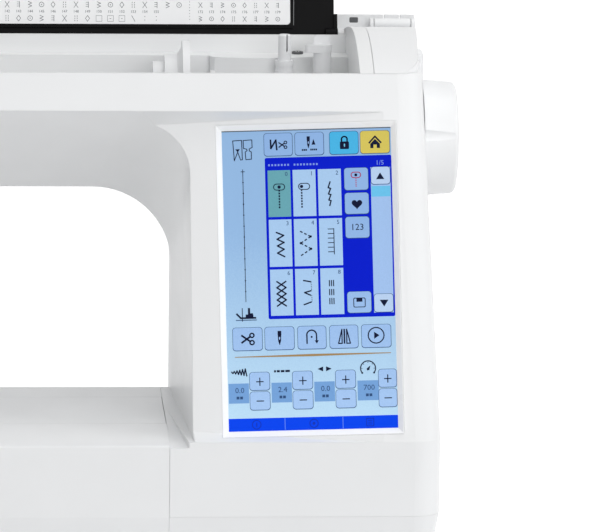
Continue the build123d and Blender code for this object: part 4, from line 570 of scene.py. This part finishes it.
key_edge = lit_ink("key_edge", linear(46, 76, 126))
for name, outlines, height, finish in (
        ("screen_stitch_panel", panels, 0.04, lit_ink("panel_blue", linear(1, 28, 204))),
        ("screen_foot_bar", bars, 0.04, lit_ink("bar_blue", linear(4, 69, 238))),
        ("screen_value_boxes", boxes, 0.04, lit_ink("box_blue", linear(118, 163, 217))),
        ("screen_tiles", tiles, 0.08, lit_ink("tile_blue", linear(171, 205, 241))),
        ("screen_scroll_track", tracks, 0.06, lit_ink("track_blue", linear(164, 196, 240))),
        ("screen_chosen_tile", chosen, 0.08, lit_ink("tile_teal", linear(106, 168, 180))),
        ("screen_key_edges", key_edges, 0.08, key_edge),
        ("screen_keys", keys, 0.12,
         lit_ink("key_blue", linear(146, 183, 231), grain=0.05, foot=linear(174, 207, 249))),
        ("screen_scroll_keys", pale_keys, 0.12, lit_ink("key_pale", linear(188, 212, 243))),
        ("screen_lock_key", cyan_keys, 0.12, lit_ink("key_cyan", linear(75, 183, 232))),
        ("screen_home_key", gold_keys, 0.12, lit_ink("key_gold", linear(218, 200, 96))),
        ("screen_thumb", thumbs, 0.1, lit_ink("thumb_cyan", linear(110, 198, 240))),
        ("screen_marks", ink, 0.16, lit_ink("mark_navy", linear(14, 22, 52))),
        ("screen_thin_marks", thin_ink, 0.16, lit_ink("mark_slate", linear(54, 82, 124))),
        ("screen_plate_mark", red_ink, 0.15, lit_ink("mark_red", linear(180, 62, 96))),
        ("screen_page_mark", light_ink, 0.16, lit_ink("mark_pale", linear(128, 156, 232))),
        ("screen_rule", gold_ink, 0.16, lit_ink("mark_gold", linear(164, 134, 92))),
        ("screen_bar_rules", pale_rules, 0.16, lit_ink("rule_blue", linear(120, 162, 246))),
        ("screen_bar_marks", faint_ink, 0.16, lit_ink("mark_blue", linear(22, 52, 178))),
        ("screen_lock_hole", cyan_holes, 0.2, lit_ink("hole_cyan", linear(120, 206, 240))),
        ("screen_needle_holes", blue_holes, 0.2, lit_ink("hole_blue", linear(162, 194, 243))),
        ("screen_top_shade", top_shade, 0.18, lit_ink("shade_grey", linear(84, 92, 100)))):
    print_on(name, outlines, on_glass, height, finish, "housing")


# ---------------------------------------------------------------- stitch chart in the lid

lid_open = math.radians(99)
hinge_y, hinge_z = 46.0, 281.0
card_left, card_right, card_foot, card_depth = -140.0, 159.8, 40.8, 86.8
card_face_drop, card_corner_r = 3.5, 1.8
crown_front = ((-58.0, 274.0), (-29.0, 286.4), (0.0, 290.0))
crown_rear = ((0.0, 290.0), (26.85, 287.599), (53.7, 283.0))


def arc_height(y, a, b, c):
    """Height of the circle through three (y, z) points, on its upper side."""
    (y0, z0), (y1, z1), (y2, z2) = a, b, c
    centre_y, centre_z = np.linalg.solve([[2 * (y1 - y0), 2 * (z1 - z0)], [2 * (y2 - y0), 2 * (z2 - z0)]],
                                         [y1**2 - y0**2 + z1**2 - z0**2, y2**2 - y0**2 + z2**2 - z0**2])
    radius = math.hypot(y0 - centre_y, z0 - centre_z)
    return centre_z + np.sqrt(np.maximum(radius**2 - (y - centre_y) ** 2, 0))


def on_card(points, height):
    """Card millimetres: u along the machine, v up from the card's foot.

    They lie on the crown's curve, turned open about the hinge.
    """
    y = card_foot - points[:, 1]
    z = np.where(y < 0, arc_height(y, *crown_front), arc_height(y, *crown_rear)) - card_face_drop - height
    y, z = y - hinge_y, z - hinge_z
    return np.stack([points[:, 0], hinge_y + y * math.cos(lid_open) + z * math.sin(lid_open),
                     hinge_z - y * math.sin(lid_open) + z * math.cos(lid_open)], 1) * MM


def stitch_sign(kind, u, v, s):
    """One small stitch sign of the chart, picked by kind."""
    frame_line = line(rect(u - s, v - s, u + s, v + s), 0.16, True)
    return (
        lambda: frame_line,
        lambda: frame_line + [rect(u - 0.45, v - 0.14, u + 0.45, v + 0.14)],
        lambda: frame_line + [disc(u, v, 0.26)],
        lambda: line([(u - 0.55 * s, v - s), (u + 0.55 * s, v + s)], 0.26),
        lambda: [disc(u, v - 0.7 * s, 0.22), disc(u, v + 0.5 * s, 0.22)],
        lambda: zigzag(u - 0.6 * s, v - s, u + 0.6 * s, v + s, 4, 0.26),
        lambda: line(disc(u, v, 0.8 * s), 0.24, True) + [disc(u, v, 0.28)],
        lambda: line([(u - 0.7 * s, v), (u, v - s), (u + 0.7 * s, v), (u, v + s)], 0.24, True),
        lambda: broken((u - 0.4 * s, v - s), (u - 0.4 * s, v + s), 3, 0.28, 0.6)
        + broken((u + 0.4 * s, v - s), (u + 0.4 * s, v + s), 3, 0.28, 0.6),
        lambda: line([(u - 0.7 * s, v - s), (u + 0.7 * s, v + s)], 0.24)
        + line([(u - 0.7 * s, v + s), (u + 0.7 * s, v - s)], 0.24),
        lambda: line([(u + 0.3 * s, v - s), (u + 0.3 * s, v + s)], 0.26)
        + [rect(u - 0.6 * s, v + k * s, u + 0.3 * s, v + k * s + 0.22) for k in (-0.9, -0.2, 0.5)],
    )[kind]()


# columns of signs with a number over each; in the lowest row the two columns left of the divider are empty
chart = []
row_pitch, sign_size = 7.3, 1.55
left_columns, right_columns = 100.8 - 6.07 * np.arange(39), np.linspace(112.1, 153.2, 8)
foot_kinds = {2: 4, 3: 4, 4: 3, 5: 2, 6: 1, 7: 0}
for row in range(11):
    foot = 2.9 + row_pitch * row
    for k, u in enumerate(left_columns):
        if row or k > 1:
            kind = foot_kinds.get(k, 5 + k % 6) if row == 0 else 5 + (5 * k + 7 * row) % 6
            chart += stitch_sign(kind, u, -foot, sign_size)
            chart += figures(str(max(157 - k - 12 * row, 1)), u, -foot - 3.65, 2.0)
    for k, u in enumerate(right_columns):
        chart += stitch_sign(5 + (k + 4 * row) % 6, u, -foot, 0.85 * sign_size)
        chart += figures(str(172 - 8 * row + k), u, -foot - 3.65, 2.0)
chart += [disc(106.4, -v, 0.2) for v in np.arange(2.6, card_depth - 2, 1.55)]
turn = np.linspace(0, math.pi / 2, 7)
corner = np.concatenate([card_corner_r - card_corner_r * np.stack([np.cos(turn), np.sin(turn)], 1),
                         [(-0.05, -0.05)]])
corners = [np.array((u0, -v0)) + corner * (du, -dv)
           for u0, du in ((card_left, 1), (card_right, -1)) for v0, dv in ((0, 1), (card_depth, -1))]
# a thin grey strip on the black lid along the liner's right edge: painted highlight, the bright line where
# that edge catches the light
liner_highlight = [rect(161.5, -card_depth, 161.85, 0.3)]


def chart_place(points, height):
    """The card's own place for points whose second number falls from the card's foot."""
    return on_card(points * (1, -1), height)


for name, outlines, height, finish, slot in (
        ("chart_print", chart, 0.05, printed_ink("chart_ink", linear(96, 99, 106)), "card_white"),
        ("card_corners", corners, 0.05, lid_black, "lid_black"),
        ("painted_liner_highlight", liner_highlight, -1.6, printed_ink("highlight_grey", linear(128, 130, 132)), "lid_black")):
    print_on(name, outlines, chart_place, height, finish, "lid")


rim_front_y = 65.6


def on_rear_rim(points, height):
    """Millimetres along the machine and down from the table plane, on the rear rim's upright front."""
    return np.stack([points[:, 0], np.full(len(points), rim_front_y - height), -points[:, 1]], 1) * MM


# a grey print on the rim's front where its slot is: the slot's dark opening as painted shade
print_on("painted_slot_shade", [rect(192.6, -287.9, 197.2, -285.0, 0.6)], on_rear_rim, 0.05,
         printed_ink("slot_shade_grey", linear(86, 88, 90)), "housing")


# ---------------------------------------------------------------- floor, light and camera

def pale_sight(tree):
    """1 for the rays that see plain white ground: camera, mirror and glass rays."""
    seen = tree.nodes.new("ShaderNodeLightPath")
    white = seen.outputs["Is Camera Ray"]
    for ray in ("Is Glossy Ray", "Is Transmission Ray"):
        either = tree.nodes.new("ShaderNodeMath")
        either.operation = "MAXIMUM"
        tree.links.new(white, either.inputs[0])
        tree.links.new(seen.outputs[ray], either.inputs[1])
        white = either.outputs["Value"]
    return white


def studio_floor():
    """A level square, pale all over, that keeps the machine's shadow under a plain lift for the camera."""
    reach, cells, below = 6, 12, 0.0002
    row = cells + 1
    u, v = np.meshgrid(np.linspace(-reach, reach, row), np.linspace(-reach, reach, row))
    points = np.stack([u.ravel(), v.ravel(), np.full(u.size, -below)], 1)
    first = (np.arange(cells)[:, None] * row + np.arange(cells)).ravel()
    faces = np.stack([first, first + 1, first + row + 1, first + row], 1)
    mesh = bpy.data.meshes.new("studio_floor")
    mesh.from_pydata(points.tolist(), [], faces.tolist())
    material = bpy.data.materials.new("floor_paper")
    material.use_nodes = True
    tree = material.node_tree
    tree.nodes.clear()
    paper = tree.nodes.new("ShaderNodeBsdfDiffuse")
    paper.inputs["Color"].default_value = (0.86, 0.86, 0.86, 1)
    lift = tree.nodes.new("ShaderNodeEmission")
    lift.inputs["Strength"].default_value = 0.6
    both = tree.nodes.new("ShaderNodeAddShader")
    mix = tree.nodes.new("ShaderNodeMixShader")
    out = tree.nodes.new("ShaderNodeOutputMaterial")
    links = tree.links
    links.new(paper.outputs[0], both.inputs[0])
    links.new(lift.outputs[0], both.inputs[1])
    links.new(pale_sight(tree), mix.inputs["Fac"])
    links.new(paper.outputs[0], mix.inputs[1])
    links.new(both.outputs[0], mix.inputs[2])
    links.new(mix.outputs[0], out.inputs["Surface"])
    mesh.materials.append(material)
    floor = bpy.data.objects.new("studio_floor", mesh)
    bpy.context.scene.collection.objects.link(floor)


def studio_world(level):
    """Even white surroundings: the given level on the machine, plain white to the camera."""
    world = bpy.data.worlds.new("studio_world")
    bpy.context.scene.world = world
    world.use_nodes = True
    tree = world.node_tree
    tree.nodes.clear()
    soft = tree.nodes.new("ShaderNodeBackground")
    white = tree.nodes.new("ShaderNodeBackground")
    soft.inputs["Color"].default_value = white.inputs["Color"].default_value = (1, 1, 1, 1)
    soft.inputs["Strength"].default_value = level
    mix = tree.nodes.new("ShaderNodeMixShader")
    out = tree.nodes.new("ShaderNodeOutputWorld")
    tree.links.new(pale_sight(tree), mix.inputs["Fac"])
    tree.links.new(soft.outputs[0], mix.inputs[1])
    tree.links.new(white.outputs[0], mix.inputs[2])
    tree.links.new(mix.outputs[0], out.inputs["Surface"])


def softbox(name, place, aim, size, watts):
    """A square lamp at place that faces aim."""
    lamp = bpy.data.lights.new(name, "AREA")
    lamp.size, lamp.energy = size, watts
    holder = bpy.data.objects.new(name, lamp)
    back = np.subtract(place, aim)
    back /= np.linalg.norm(back)
    side = np.cross((0, 0, 1), back)
    side /= np.linalg.norm(side)
    holder.matrix_world = Matrix(np.vstack([np.column_stack([side, np.cross(back, side), back, place]),
                                            (0, 0, 0, 1)]).tolist())
    bpy.context.scene.collection.objects.link(holder)


studio_floor()
studio_world(0.54)
softbox("front_box", place=(0.9, -2.3, 1.3), aim=(0.1, 0, 0.18), size=1.6, watts=18)
softbox("top_box", place=(0.5, -0.3, 2.2), aim=(0.05, 0, 0.2), size=1.4, watts=9)
softbox("right_box", place=(2.2, -0.7, 1.3), aim=(0.15, 0, 0.2), size=1.2, watts=11)

# the photo's camera: the point it looks at, its turns, its distance, and its focal length in picture widths
sight = np.array((158.6, -72.0, 177.0)) * MM
yaw, down, roll = math.radians(3.8), math.radians(10), math.radians(0.7)
distance, focus, sensor_w = 2.4, 4706.0 / 600, 36.0
forward = np.array((math.sin(yaw) * math.cos(down), math.cos(yaw) * math.cos(down), -math.sin(down)))
level_right = np.array((math.cos(yaw), -math.sin(yaw), 0))
level_up = np.cross(level_right, forward)
right = level_right * math.cos(roll) + level_up * math.sin(roll)
up = level_up * math.cos(roll) - level_right * math.sin(roll)
lens = bpy.data.cameras.new("photo_camera")
lens.sensor_fit, lens.sensor_width, lens.lens = "HORIZONTAL", sensor_w, focus * sensor_w
lens.clip_start, lens.clip_end = 0.05, 60
camera = bpy.data.objects.new("photo_camera", lens)
camera.matrix_world = Matrix(np.vstack([np.column_stack([right, up, -forward, sight - distance * forward]),
                                        (0, 0, 0, 1)]).tolist())
bpy.context.scene.collection.objects.link(camera)
bpy.context.scene.camera = camera
bpy.context.scene.view_settings.view_transform = "Standard"
